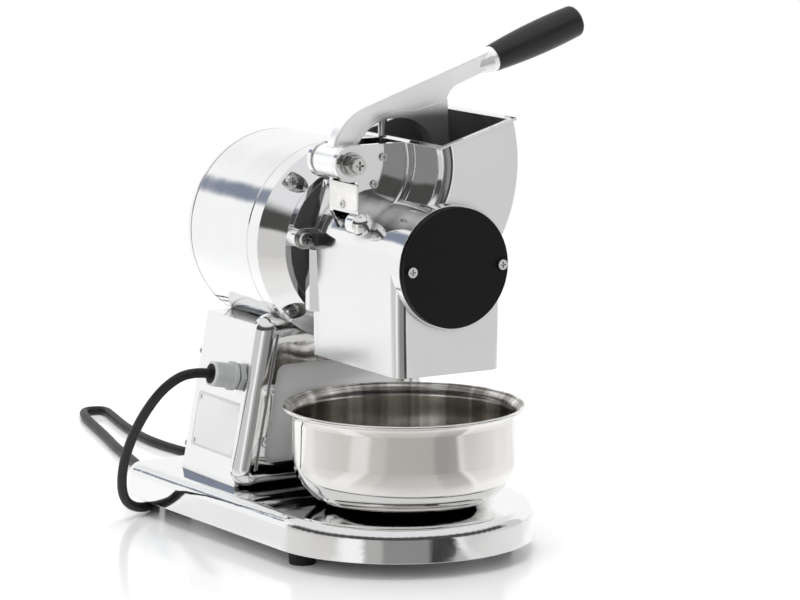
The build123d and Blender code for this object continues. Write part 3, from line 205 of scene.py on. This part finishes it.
class Shading:
    """Node tree of a material or a world, with short ways to add nodes to it."""

    def __init__(self, tree):
        self.tree = tree

    def node(self, kind, inputs=(), **settings):
        """New node with its settings and inputs: a socket is linked, any other value is set."""
        made = self.tree.nodes.new("ShaderNode" + kind)
        for name, value in settings.items():
            setattr(made, name, value)
        for key, value in dict(inputs).items():
            self.feed(made.inputs[key], value)
        return made

    def feed(self, socket, value):
        """Links a socket to an input, or sets the input's value."""
        if isinstance(value, bpy.types.NodeSocket):
            self.tree.links.new(value, socket)
        else:
            socket.default_value = value

    def place(self, stretch=None):
        """Place on the object in metres, stretched along the axes where asked."""
        coords = self.node("TexCoord").outputs["Object"]
        if stretch is None:
            return coords
        return self.node("Mapping", {"Vector": coords, "Scale": stretch}).outputs["Vector"]

    def noise(self, scale, detail=2.0, roughness=0.5, stretch=None):
        """Noise from 0 to 1, with so many features in a metre."""
        made = self.node(
            "TexNoise",
            {"Vector": self.place(stretch), "Scale": scale, "Detail": detail, "Roughness": roughness},
        )
        return made.outputs["Fac"]

    def spread(self, value, low, high, start=0.0, end=1.0):
        """A value between start and end taken to the range from low to high."""
        made = self.node(
            "MapRange",
            {"Value": value, "From Min": start, "From Max": end, "To Min": low, "To Max": high},
        )
        return made.outputs["Result"]

    def step(self, value, start, end):
        """A smooth step from 0 at start to 1 at end."""
        made = self.node(
            "MapRange",
            {"Value": value, "From Min": start, "From Max": end},
            interpolation_type="SMOOTHSTEP",
        )
        return made.outputs["Result"]

    def maths(self, operation, first, second=0.0):
        """One operation on two values."""
        return self.node("Math", {0: first, 1: second}, operation=operation).outputs["Value"]

    def times(self, *values):
        """Product of two or more values."""
        product = values[0]
        for value in values[1:]:
            product = self.maths("MULTIPLY", product, value)
        return product

    def dot(self, first, second):
        """Dot product of two vectors."""
        return self.node("VectorMath", {0: first, 1: second}, operation="DOT_PRODUCT").outputs["Value"]

    def length(self, vector):
        """Length of a vector."""
        return self.node("VectorMath", {0: vector}, operation="LENGTH").outputs["Value"]

    def axes(self, vector):
        """The X, Y and Z parts of a vector."""
        return self.node("SeparateXYZ", {0: vector}).outputs

    def facing(self):
        """Direction that the surface faces."""
        return self.node("NewGeometry").outputs["Normal"]

    def from_axis(self, parts, x, z):
        """Distance of a place, given by its parts, from an axis that runs along the depth."""
        across = self.maths("POWER", self.maths("SUBTRACT", parts["X"], x), 2.0)
        above = self.maths("POWER", self.maths("SUBTRACT", parts["Z"], z), 2.0)
        return self.maths("SQRT", self.maths("ADD", across, above))

    def strip_noise(self, value, scale, detail):
        """Noise from 0 to 1 along one value."""
        made = self.node("TexNoise", {"W": value, "Scale": scale, "Detail": detail}, noise_dimensions="1D")
        return made.outputs["Fac"]

    def between(self, share, first, second):
        """Value between two values."""
        return self.node("Mix", {0: share, 2: first, 3: second}).outputs[0]

    def blend(self, share, first, second):
        """Colour between two colours."""
        made = self.node("Mix", {0: share, 6: first, 7: second}, data_type="RGBA")
        return made.outputs[2]


class Finish(Shading):
    """Material with one principled shader."""

    def __init__(self, name):
        self.material = bpy.data.materials.new(name)
        self.material.use_nodes = True
        super().__init__(self.material.node_tree)
        self.shader = self.tree.nodes["Principled BSDF"]
        self.normal = None

    def put(self, name, value):
        """Gives one input of the shader."""
        self.feed(self.shader.inputs[name], value)

    def soften(self, radius):
        """Rounds sharp edges in the shading."""
        self.normal = self.node("Bevel", {"Radius": radius}, samples=4).outputs["Normal"]
        self.put("Normal", self.normal)

    def bump(self, height, distance):
        """Relief of the given height in metres, over the relief made so far."""
        made = self.node("Bump", {"Height": height, "Distance": distance, "Strength": 1.0})
        if self.normal is not None:
            self.feed(made.inputs["Normal"], self.normal)
        self.normal = made.outputs["Normal"]
        self.put("Normal", self.normal)

    def edges(self, radius):
        """Near 1 along sharp edges, 0 on open faces."""
        soft = self.node("Bevel", {"Radius": radius}, samples=4).outputs["Normal"]
        return self.spread(self.dot(soft, self.facing()), 1.0, 0.0, 0.75, 0.98)

    def crevice(self, distance):
        """Near 1 in corners and slots, 0 on open faces."""
        open_share = self.node("AmbientOcclusion", {"Distance": distance}, samples=4).outputs["AO"]
        return self.spread(open_share, 1.0, 0.0, 0.25, 0.85)


def darker(colour, share):
    """A colour at a share of its brightness, with its alpha."""
    return (*[part * share for part in colour[:3]], 1.0)


def inside_mouth(made):
    """Near 1 on the faces inside the feed mouth, which follows an arc about the lever pivot."""
    parts = made.axes(made.place())
    reach = made.from_axis(parts, PIVOT_X, PIVOT_Z)
    walls = made.times(made.step(reach, *MOUTH_NEAR), made.step(reach, *MOUTH_FAR))
    ends = made.times(made.step(parts["Y"], *MOUTH_FRONT), made.step(parts["Y"], *MOUTH_BACK))
    low = made.times(made.step(parts["Z"], *MOUTH_RIM), made.step(parts["Z"], *MOUTH_FLOOR))
    return made.times(walls, made.step(parts["X"], *MOUTH_LEFT), ends, low)


def flat_sides(made):
    """Near 1 on the flat sides of the chute, which are ground and not polished."""
    parts = made.axes(made.place())
    before = made.step(parts["Y"], *MOUTH_BACK)
    level = made.times(made.step(parts["Z"], *CHUTE_TOP), made.step(parts["Z"], *CHUTE_BOTTOM))
    sideways = made.maths("ABSOLUTE", made.axes(made.facing())["X"])
    return made.times(made.step(sideways, 0.95, 0.99), before, level)


def panel_face(made):
    """Near 1 on the recessed front panel of the pedestal."""
    depth = made.axes(made.place())["Y"]
    forward = made.step(made.axes(made.facing())["Y"], -0.9, -0.97)
    return made.times(made.step(depth, *PANEL_FRONT), made.step(depth, *PANEL_BACK), forward)


def inside_bell(made):
    """Near 1 inside the bell of the motor flange."""
    parts = made.axes(made.place())
    reach = made.from_axis(parts, DRIVE_X, DRIVE_Z)
    return made.times(made.step(reach, *BELL_REACH), made.step(parts["Y"], *BELL_FRONT))


def rubbed_cast(name, colour, grime_and_shade_share):
    """Rubbed lever casting with an even sheen and faint clouds, corners darkened by soiling and painted
    shade, and painted shade where it dips into the feed mouth.
    """
    made = Finish(name)
    made.put("Metallic", 0.6)
    made.soften(0.0007)
    clouds = made.noise(14.0, 3.0)
    tone = made.blend(made.spread(clouds, 0.0, 1.0, 0.3, 0.7), darker(colour, 0.955), (*colour, 1.0))
    # Corners and slots darkened from ambient occlusion: soiling and painted shade
    dirt_and_shade = made.times(made.crevice(0.006), grime_and_shade_share)
    rubbed = made.blend(dirt_and_shade, tone, darker(colour, 0.35))
    parts = made.axes(made.place())
    # Painted shade: the lever goes dark where it dips into the feed mouth, for the mouth's shade and its
    # dark reflection
    mouth_shade = made.times(made.step(parts["Z"], *DIP_TOP), made.step(parts["X"], *DIP_LEFT), DIP_SHADE_SHARE)
    made.put("Base Color", made.blend(mouth_shade, rubbed, darker(colour, 0.12)))
    made.put("Roughness", made.spread(made.noise(33.0, 4.0, 0.6), 0.2, 0.27, 0.35, 0.75))
    made.bump(made.noise(20.0, 1.0), 0.0005)
    return made.material


def polished_cast(name, colour, grime_and_shade_share):
    """Polished casting: a mirror with slight waves and polishing lines, corners darkened by soiling and
    painted shade, and inside the feed mouth a matt finish whose colour is darkened, partly as rougher cast
    surface and partly as painted shade.
    """
    made = Finish(name)
    bell = inside_bell(made)
    satin = made.maths("MAXIMUM", bell, panel_face(made))
    made.put("Metallic", made.spread(satin, 1.0, 0.5))
    made.soften(0.0007)
    clouds = made.noise(14.0, 3.0)
    tone = made.blend(made.spread(clouds, 0.0, 1.0, 0.3, 0.7), darker(colour, 0.955), (*colour, 1.0))
    # Corners and slots darkened from ambient occlusion: soiling and painted shade
    dirt_and_shade = made.times(made.crevice(0.006), grime_and_shade_share)
    polished = made.blend(dirt_and_shade, tone, darker(colour, 0.35))
    # Inside the feed mouth: matt, with a much darker colour that is partly rougher cast surface and partly
    # painted shade
    matt_and_shaded = inside_mouth(made)
    cast = made.blend(bell, polished, darker(colour, 0.55))
    made.put("Base Color", made.blend(matt_and_shaded, cast, darker(colour, 0.3)))
    smears = made.spread(made.noise(33.0, 4.0, 0.6), 0.03, 0.09, 0.35, 0.75)
    lines = made.spread(made.noise(900.0, 2.0, 0.5, (1.0, 1.0, 0.06)), -0.015, 0.025, 0.3, 0.7)
    shine = made.maths("ADD", smears, lines)
    ground = made.between(flat_sides(made), shine, GROUND_ROUGHNESS)
    plain = made.between(satin, ground, SATIN_ROUGHNESS)
    made.put("Roughness", made.between(matt_and_shaded, plain, DULL_ROUGHNESS))
    made.bump(made.noise(20.0, 1.0), 0.0009)
    made.bump(made.noise(90.0, 2.0), 0.00004)
    return made.material


def bowl_steel(name, centre):
    """Spun stainless bowl: mirror outside, satin inside with fine rings, and light and dark upright stripes
    of painted reflection in the inside colour.
    """
    made = Finish(name)
    made.put("Metallic", 1.0)
    made.put("Tangent", made.node("Tangent", direction_type="RADIAL", axis="Z").outputs["Tangent"])
    spot = made.place()
    out = made.node("VectorMath", {0: spot, 1: centre}, operation="SUBTRACT").outputs["Vector"]
    level = made.node("VectorMath", {0: out, 1: (1.0, 1.0, 0.0)}, operation="MULTIPLY").outputs["Vector"]
    ray = made.node("VectorMath", {0: level}, operation="NORMALIZE").outputs["Vector"]
    facing = made.facing()
    upward = made.times(made.axes(facing)["Z"], 0.6)
    inside = made.step(made.maths("SUBTRACT", upward, made.dot(facing, ray)), 0.1, 0.3)
    made.put("Anisotropic", made.times(inside, 0.9))
    height = made.axes(spot)["Z"]
    radius = made.length(level)
    path = made.maths("SUBTRACT", height, radius)
    rings = made.strip_noise(path, 2600.0, 3.0)
    wide_rings = made.strip_noise(path, 170.0, 2.0)
    clouds = made.noise(26.0, 3.0)
    outer = made.blend(clouds, (0.84, 0.83, 0.81, 1.0), (0.89, 0.88, 0.86, 1.0))
    around = made.node("TexNoise", {"Vector": ray, "Scale": 5.0, "Detail": 2.0}).outputs["Fac"]
    # Painted reflection: light and dark upright stripes, with faint wide rings, in the inside colour,
    # standing in for what the satin inside mirrors
    upright = made.between(made.step(radius, *BOWL_WALL), 0.5, around)
    painted_reflection_stripes = made.spread(upright, 0.0, 1.0, 0.4, 0.6)
    painted_reflection_stripes = made.maths("ADD", painted_reflection_stripes, made.spread(wide_rings, -0.15, 0.15))
    inner = made.blend(painted_reflection_stripes, (0.36, 0.34, 0.315, 1.0), (0.95, 0.93, 0.89, 1.0))
    made.put("Base Color", made.blend(inside, outer, inner))
    mirror = made.spread(clouds, 0.04, 0.09, 0.3, 0.7)
    satin = made.spread(rings, 0.16, 0.22, 0.3, 0.7)
    made.put("Roughness", made.between(inside, mirror, satin))
    made.bump(rings, 0.0000012)
    made.bump(made.noise(24.0, 1.0), 0.0004)
    made.bump(made.times(height, inside), -0.06)
    return made.material


def metal(name, colour, roughness, lines=(1.0, 1.0, 1.0), relief=0.00001, grime_and_shade_share=0.6, edge=0.0004):
    """Machined or drawn metal: fine lines along one direction, smudges, worn edges, and corners darkened by
    soiling and painted shade.
    """
    made = Finish(name)
    made.put("Metallic", 1.0)
    made.soften(edge)
    marks = made.noise(1500.0, 3.0, 0.6, lines)
    clouds = made.noise(60.0, 3.0)
    tone = made.blend(clouds, darker(colour, 0.86), (*colour, 1.0))
    worn = made.blend(made.times(made.edges(2 * edge), 0.5), tone, darker(colour, 1.12))
    # Corners and slots darkened from ambient occlusion: soiling and painted shade
    dirt_and_shade = made.times(made.crevice(0.002), grime_and_shade_share)
    made.put("Base Color", made.blend(dirt_and_shade, worn, darker(colour, 0.16)))
    smear = made.spread(clouds, 0.85, 1.2, 0.3, 0.7)
    streak = made.spread(marks, 0.75 * roughness, 1.25 * roughness, 0.25, 0.75)
    made.put("Roughness", made.times(smear, streak))
    made.bump(marks, relief)
    return made.material


def plastic(name, colour, roughness, grain=900.0, relief=0.00003, edge=0.0005, sheen=0.5, wear=1.5):
    """Moulded plastic, rubber or coated sheet: fine grain, colour drift, paler edges, corners darkened by
    soiling and painted shade.
    """
    made = Finish(name)
    made.put("Specular IOR Level", sheen)
    made.soften(edge)
    clouds = made.noise(45.0, 4.0, 0.6)
    fine = made.noise(grain, 3.0, 0.55)
    tone = made.blend(made.spread(clouds, 0.0, 1.0, 0.3, 0.7), darker(colour, 0.85), darker(colour, 1.12))
    worn = made.blend(made.times(made.edges(2 * edge), 0.35), tone, darker(colour, wear))
    # Corners and slots darkened from ambient occlusion: soiling and painted shade
    dust_and_shade = made.times(made.crevice(0.003), 0.25)
    made.put("Base Color", made.blend(dust_and_shade, worn, darker(colour, 0.55)))
    smear = made.spread(clouds, 0.88, 1.15, 0.3, 0.7)
    made.put("Roughness", made.times(smear, made.spread(fine, 0.9 * roughness, 1.1 * roughness)))
    made.bump(fine, relief)
    return made.material


def stacked_sheets(name, colour):
    """Motor laminations: thin sheets stacked along the depth, with oxide tints."""
    made = Finish(name)
    made.put("Metallic", 0.9)
    sheets = made.node(
        "TexWave",
        {"Vector": made.place(), "Scale": 320.0, "Distortion": 0.0},
        bands_direction="Y",
    ).outputs["Fac"]
    tint = made.blend(made.noise(70.0, 3.0), darker(colour, 0.7), (*colour, 1.0))
    made.put("Base Color", made.blend(sheets, darker(colour, 0.45), tint))
    made.put("Roughness", made.spread(sheets, 0.6, 0.35))
    made.bump(sheets, 0.00012)
    return made.material


def wound_wire(name, colour, centre):
    """Enamelled copper winding heads: bundles of wire that run round the bore."""
    made = Finish(name)
    made.put("Metallic", 0.85)
    made.put("Coat Weight", 0.4)
    spot = made.node("VectorMath", {0: made.place(), 1: centre}, operation="SUBTRACT").outputs["Vector"]
    level = made.node("VectorMath", {0: spot, 1: (1.0, 0.0, 1.0)}, operation="MULTIPLY").outputs["Vector"]
    path = made.maths("ADD", made.length(level), made.axes(spot)["Y"])
    around = made.maths("SINE", made.times(path, 5200.0))
    wires = made.spread(around, 0.0, 1.0, -1.0, 1.0)
    tint = made.blend(made.noise(120.0, 3.0), darker(colour, 0.75), (*colour, 1.0))
    made.put("Base Color", made.blend(wires, darker(colour, 0.3), tint))
    made.put("Roughness", made.spread(wires, 0.5, 0.25))
    made.bump(wires, 0.0003)
    return made.material


def bare_foil(name, colour, corner_low, corner_high):
    """Bare satin rating foil: fine brushing and a darker rim."""
    made = Finish(name)
    made.put("Metallic", 0.35)
    brushed = made.noise(1800.0, 3.0, 0.6, (1.0, 0.03, 1.0))
    clouds = made.noise(50.0, 2.0)
    tone = made.blend(clouds, darker(colour, 0.95), (*colour, 1.0))
    parts = made.axes(made.place())
    rims = []
    for axis, low, high in (("Y", corner_low[1], corner_high[1]), ("Z", corner_low[2], corner_high[2])):
        middle = (low + high) / 2
        reach = (high - low) / 2
        away = made.maths("ABSOLUTE", made.maths("SUBTRACT", parts[axis], middle))
        rims.append(made.step(away, reach - 0.0022, reach - 0.0016))
    made.put("Base Color", made.blend(made.maths("MAXIMUM", *rims), tone, darker(colour, 0.8)))
    made.put("Roughness", made.spread(brushed, 0.28, 0.42))
    made.bump(brushed, 0.000006)
    return made.material


def make_finishes():
    """One material for each slot of the record, by the slot's name."""
    bowl_low, bowl_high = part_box("bowl")
    wire_low, wire_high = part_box("stator_windings")
    return {
        "cast_aluminium": polished_cast("cast_aluminium", (0.915, 0.918, 0.922), 0.55),
        "sheet_steel": metal("sheet_steel", (0.70, 0.71, 0.72), 0.3, (0.03, 1.0, 1.0)),
        "stainless": bowl_steel("stainless", (bowl_low + bowl_high) / 2),
        "fasteners": metal("fasteners", (0.78, 0.78, 0.765), 0.2, relief=0.000015, grime_and_shade_share=0.85),
        "machined_steel": metal("machined_steel", (0.66, 0.67, 0.68), 0.22, (1.0, 0.04, 1.0)),
        "drum_steel": metal("drum_steel", (0.72, 0.72, 0.71), 0.3, (1.0, 0.04, 1.0)),
        "laminations": stacked_sheets("laminations", (0.34, 0.34, 0.36)),
        "copper": wound_wire("copper", (0.72, 0.36, 0.17), (wire_low + wire_high) / 2),
        "bronze": metal("bronze", (0.72, 0.52, 0.27), 0.3, (1.0, 0.05, 1.0)),
        "black_cover": plastic("black_cover", (0.005, 0.005, 0.006), 0.4, 1400.0, 0.00002, sheen=0.18),
        "black_grip": plastic("black_grip", (0.011, 0.011, 0.0115), 0.38, 700.0, 0.00003, sheen=0.45),
        "black_plastic": plastic("black_plastic", (0.02, 0.02, 0.021), 0.5),
        "rubber": plastic("rubber", (0.012, 0.012, 0.012), 0.6, 500.0, 0.00005, sheen=0.3),
        "lead": plastic("lead", (0.011, 0.011, 0.0115), 0.48, 650.0, 0.00004, sheen=0.35),
        "plug_metal": metal("plug_metal", (0.80, 0.76, 0.66), 0.18, (1.0, 0.05, 1.0)),
        "grey_plastic": plastic("grey_plastic", (0.50, 0.515, 0.51), 0.42, 800.0, 0.00003, wear=1.15),
        "rating_foil": bare_foil("rating_foil", (0.86, 0.865, 0.87), *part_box("rating_plate")),
        "box_plastic": plastic("box_plastic", (0.55, 0.56, 0.565), 0.45, 800.0, 0.00004, wear=1.15),
        "green_plastic": plastic("green_plastic", (0.03, 0.33, 0.10), 0.28, 500.0, 0.00001, wear=1.3),
        "red_plastic": plastic("red_plastic", (0.55, 0.02, 0.02), 0.28, 500.0, 0.00001, wear=1.3),
        "can": metal("can", (0.75, 0.75, 0.76), 0.3, (1.0, 0.04, 1.0)),
        "white_plastic": plastic("white_plastic", (0.78, 0.78, 0.75), 0.4, 800.0, 0.00003, wear=1.1),
    }


def dress(lead, burrs):
    """Gives every piece its finish."""
    finishes = make_finishes()
    coated = plastic("coated_sheet", (0.83, 0.82, 0.785), 0.35, 900.0, 0.00001, wear=1.05)
    for piece in nodes.values():
        slot = piece.data.materials[0].name.split(".")[0]
        piece.data.materials[0] = finishes[slot]
    nodes["switch_shield"].data.materials[0] = coated
    nodes["presser_lever"].data.materials[0] = rubbed_cast("rubbed_cast", (0.955, 0.957, 0.96), 0.45)
    lead.data.materials.append(finishes["lead"])
    burrs.data.materials.append(finishes["drum_steel"])


# Studio that polished metal shows, as panels round the machine: each has the angle where it starts, in
# degrees to the right of the camera's direction, its brightness and its warmth
STUDIO_PANELS = (
    (-180, 1.0, 0.0),
    (-104, 0.64, 0.03),
    (-44, 0.97, 0.0),
    (-27, 0.45, 0.03),
    (-12, 0.27, 0.03),
    (27, 0.05, 0.0),
    (47, 0.9, 0.0),
    (53, 0.66, 0.01),
    (128, 1.0, 0.0),
)
PANEL_BLUR = 3.0

# Ceiling, dark room in front and grey patch behind that polished metal shows: angles are in degrees and the
# rises are the upward part of a direction
CEILING = (0.80, 0.80, 0.81, 1.0)
CEILING_RISE = (0.42, 0.62)
ROOM = (0.075, 0.073, 0.070, 1.0)
ROOM_SPREAD = (112.0, 98.0)
ROOM_RISE = (0.13, 0.2)
PATCH = (0.24, 0.27, 0.34, 1.0)
PATCH_TURN = -24.0
PATCH_RISE = 21.5
PATCH_REACH = (7.5, 3.0)
SIGHT_X = CAMERA_PLACE[0] - CAMERA_AIM[0]
SIGHT_Y = CAMERA_PLACE[1] - CAMERA_AIM[1]
SIGHT_LEVEL = math.hypot(SIGHT_X, SIGHT_Y)
TOWARDS_CAMERA = (SIGHT_X / SIGHT_LEVEL, SIGHT_Y / SIGHT_LEVEL, 0.0)
RIGHT_OF_CAMERA = (-TOWARDS_CAMERA[1], TOWARDS_CAMERA[0], 0.0)
AMBIENT = 0.62
WHITE = (1.0, 1.0, 1.0, 1.0)


def studio_angle(made, outwards):
    """Angle of a direction from the machine, in degrees to the right of the camera's direction."""
    front = made.dot(outwards, TOWARDS_CAMERA)
    right = made.dot(outwards, RIGHT_OF_CAMERA)
    return made.times(made.maths("ARCTAN2", right, front), 180.0 / math.pi)


def studio_panels(made, angle):
    """Colour of the studio's panel at an angle."""
    colour = WHITE
    for start, brightness, warmth in STUDIO_PANELS[1:]:
        panel = (brightness, brightness * (1 - warmth / 2), brightness * (1 - warmth), 1.0)
        share = made.step(angle, start - PANEL_BLUR, start + PANEL_BLUR)
        colour = made.blend(share, colour, panel)
    return colour


def make_world():
    """White background, plain ambient light, and the studio that glossy surfaces show."""
    world = bpy.data.worlds.new("studio")
    world.use_nodes = True
    scene.world = world
    made = Shading(world.node_tree)
    background = world.node_tree.nodes["Background"]
    ray = made.node("LightPath").outputs
    sight = made.node("TexCoord").outputs["Generated"]
    up = made.axes(sight)["Z"]
    angle = studio_angle(made, sight)
    in_front = made.step(made.maths("ABSOLUTE", angle), *ROOM_SPREAD)
    room = made.times(in_front, made.step(up, *ROOM_RISE))
    walls = made.blend(room, studio_panels(made, angle), ROOM)
    turn, rise = math.radians(PATCH_TURN), math.radians(PATCH_RISE)
    aim = (math.sin(turn) * math.cos(rise), math.cos(turn) * math.cos(rise), math.sin(rise))
    patch = made.step(made.dot(sight, aim), *[math.cos(math.radians(reach)) for reach in PATCH_REACH])
    studio = made.blend(made.step(up, *CEILING_RISE), made.blend(patch, walls, PATCH), CEILING)
    shown = made.maths("MAXIMUM", ray["Is Glossy Ray"], ray["Is Transmission Ray"])
    lit = made.blend(shown, (AMBIENT, AMBIENT, AMBIENT, 1.0), studio)
    made.feed(background.inputs["Color"], made.blend(ray["Is Camera Ray"], lit, WHITE))
    background.inputs["Strength"].default_value = 1.0


# Lamps: name, place, the point that it is aimed at, and side, in metres, and power in watts
SOFT_LIGHTS = (
    ("top_light", (0.1, 0.2, 1.9), (0.0, 0.0, 0.1), 1.8, 26.0),
    ("left_light", (-1.7, -0.5, 1.1), (0.0, 0.0, 0.15), 1.3, 12.0),
    ("right_light", (1.6, -0.9, 0.9), (0.0, 0.0, 0.15), 1.2, 7.0),
)


def soft_light(name, place, aim, size, power):
    """Large square lamp that lights the object but isn't mirrored in it."""
    data = bpy.data.lights.new(name, "AREA")
    data.shape = "SQUARE"
    data.size = size
    data.energy = power
    lamp = bpy.data.objects.new(name, data)
    lamp.location = place
    lamp.rotation_euler = (Vector(aim) - Vector(place)).to_track_quat("-Z", "Y").to_euler()
    lamp.visible_glossy = False
    scene.collection.objects.link(lamp)


# Floor, in metres: its half side, its colours, and where it turns bright and where, in reflections, it
# glows with the studio's panels as painted reflection
FLOOR_REACH = 9.0
FLOOR_WHITE = (0.93, 0.93, 0.93, 1.0)
FLOOR_SHADE = (0.66, 0.645, 0.62, 1.0)
FLOOR_SHADE_START = (0.0, 0.35)
FLOOR_ROUGHNESS = (0.1, 0.16)
FLOOR_IOR = 1.36
FLOOR_FADE = (0.7, 1.8)
FLOOR_NEAR = (0.16, 0.24)
FLOOR_NEAR_SHARE = 0.45
FLOOR_FAR = (0.55, 0.95)


def make_floor():
    """Glossy white floor that fades into the white background; in reflections it shows painted shade in
    front and glows with the studio's panels.
    """
    corners = [(x, y, 0.0) for x, y in ((-1, -1), (1, -1), (1, 1), (-1, 1))]
    mesh = bpy.data.meshes.new("floor")
    mesh.from_pydata([(x * FLOOR_REACH, y * FLOOR_REACH, z) for x, y, z in corners], [], [(0, 1, 2, 3)])
    floor = bpy.data.objects.new("floor", mesh)
    scene.collection.objects.link(floor)
    made = Finish("floor")
    spot = made.place()
    ray = made.node("LightPath").outputs
    front = made.step(made.dot(spot, TOWARDS_CAMERA), *FLOOR_SHADE_START)
    mirrored = made.blend(front, FLOOR_WHITE, FLOOR_SHADE)
    made.put("Base Color", made.blend(ray["Is Glossy Ray"], FLOOR_WHITE, mirrored))
    made.put("Roughness", made.spread(made.noise(7.0, 3.0), *FLOOR_ROUGHNESS))
    made.put("IOR", FLOOR_IOR)
    away = made.length(spot)
    bright = made.node("Emission", {"Color": WHITE}).outputs["Emission"]
    far = made.step(away, *FLOOR_FADE)
    seen = made.node("MixShader", {0: far, 1: made.shader.outputs["BSDF"], 2: bright}).outputs["Shader"]
    # Painted reflection: in reflections the floor glows with the studio's panel colours, though it is no
    # lamp
    panels = studio_panels(made, studio_angle(made, spot))
    studio = made.node("Emission", {"Color": panels}).outputs["Emission"]
    near_share = made.times(made.step(away, *FLOOR_NEAR), FLOOR_NEAR_SHARE)
    panel_share = made.maths("MAXIMUM", near_share, made.step(away, *FLOOR_FAR))
    beyond = made.times(panel_share, ray["Is Glossy Ray"])
    surface = made.node("MixShader", {0: beyond, 1: seen, 2: studio})
    made.feed(made.tree.nodes["Material Output"].inputs["Surface"], surface.outputs["Shader"])
    floor.data.materials.append(made.material)


make_camera()
lead = make_lead()
burrs = make_burrs()
dress(lead, burrs)
make_world()
for lamp in SOFT_LIGHTS:
    soft_light(*lamp)
make_floor()
scene.view_settings.view_transform = "Standard"
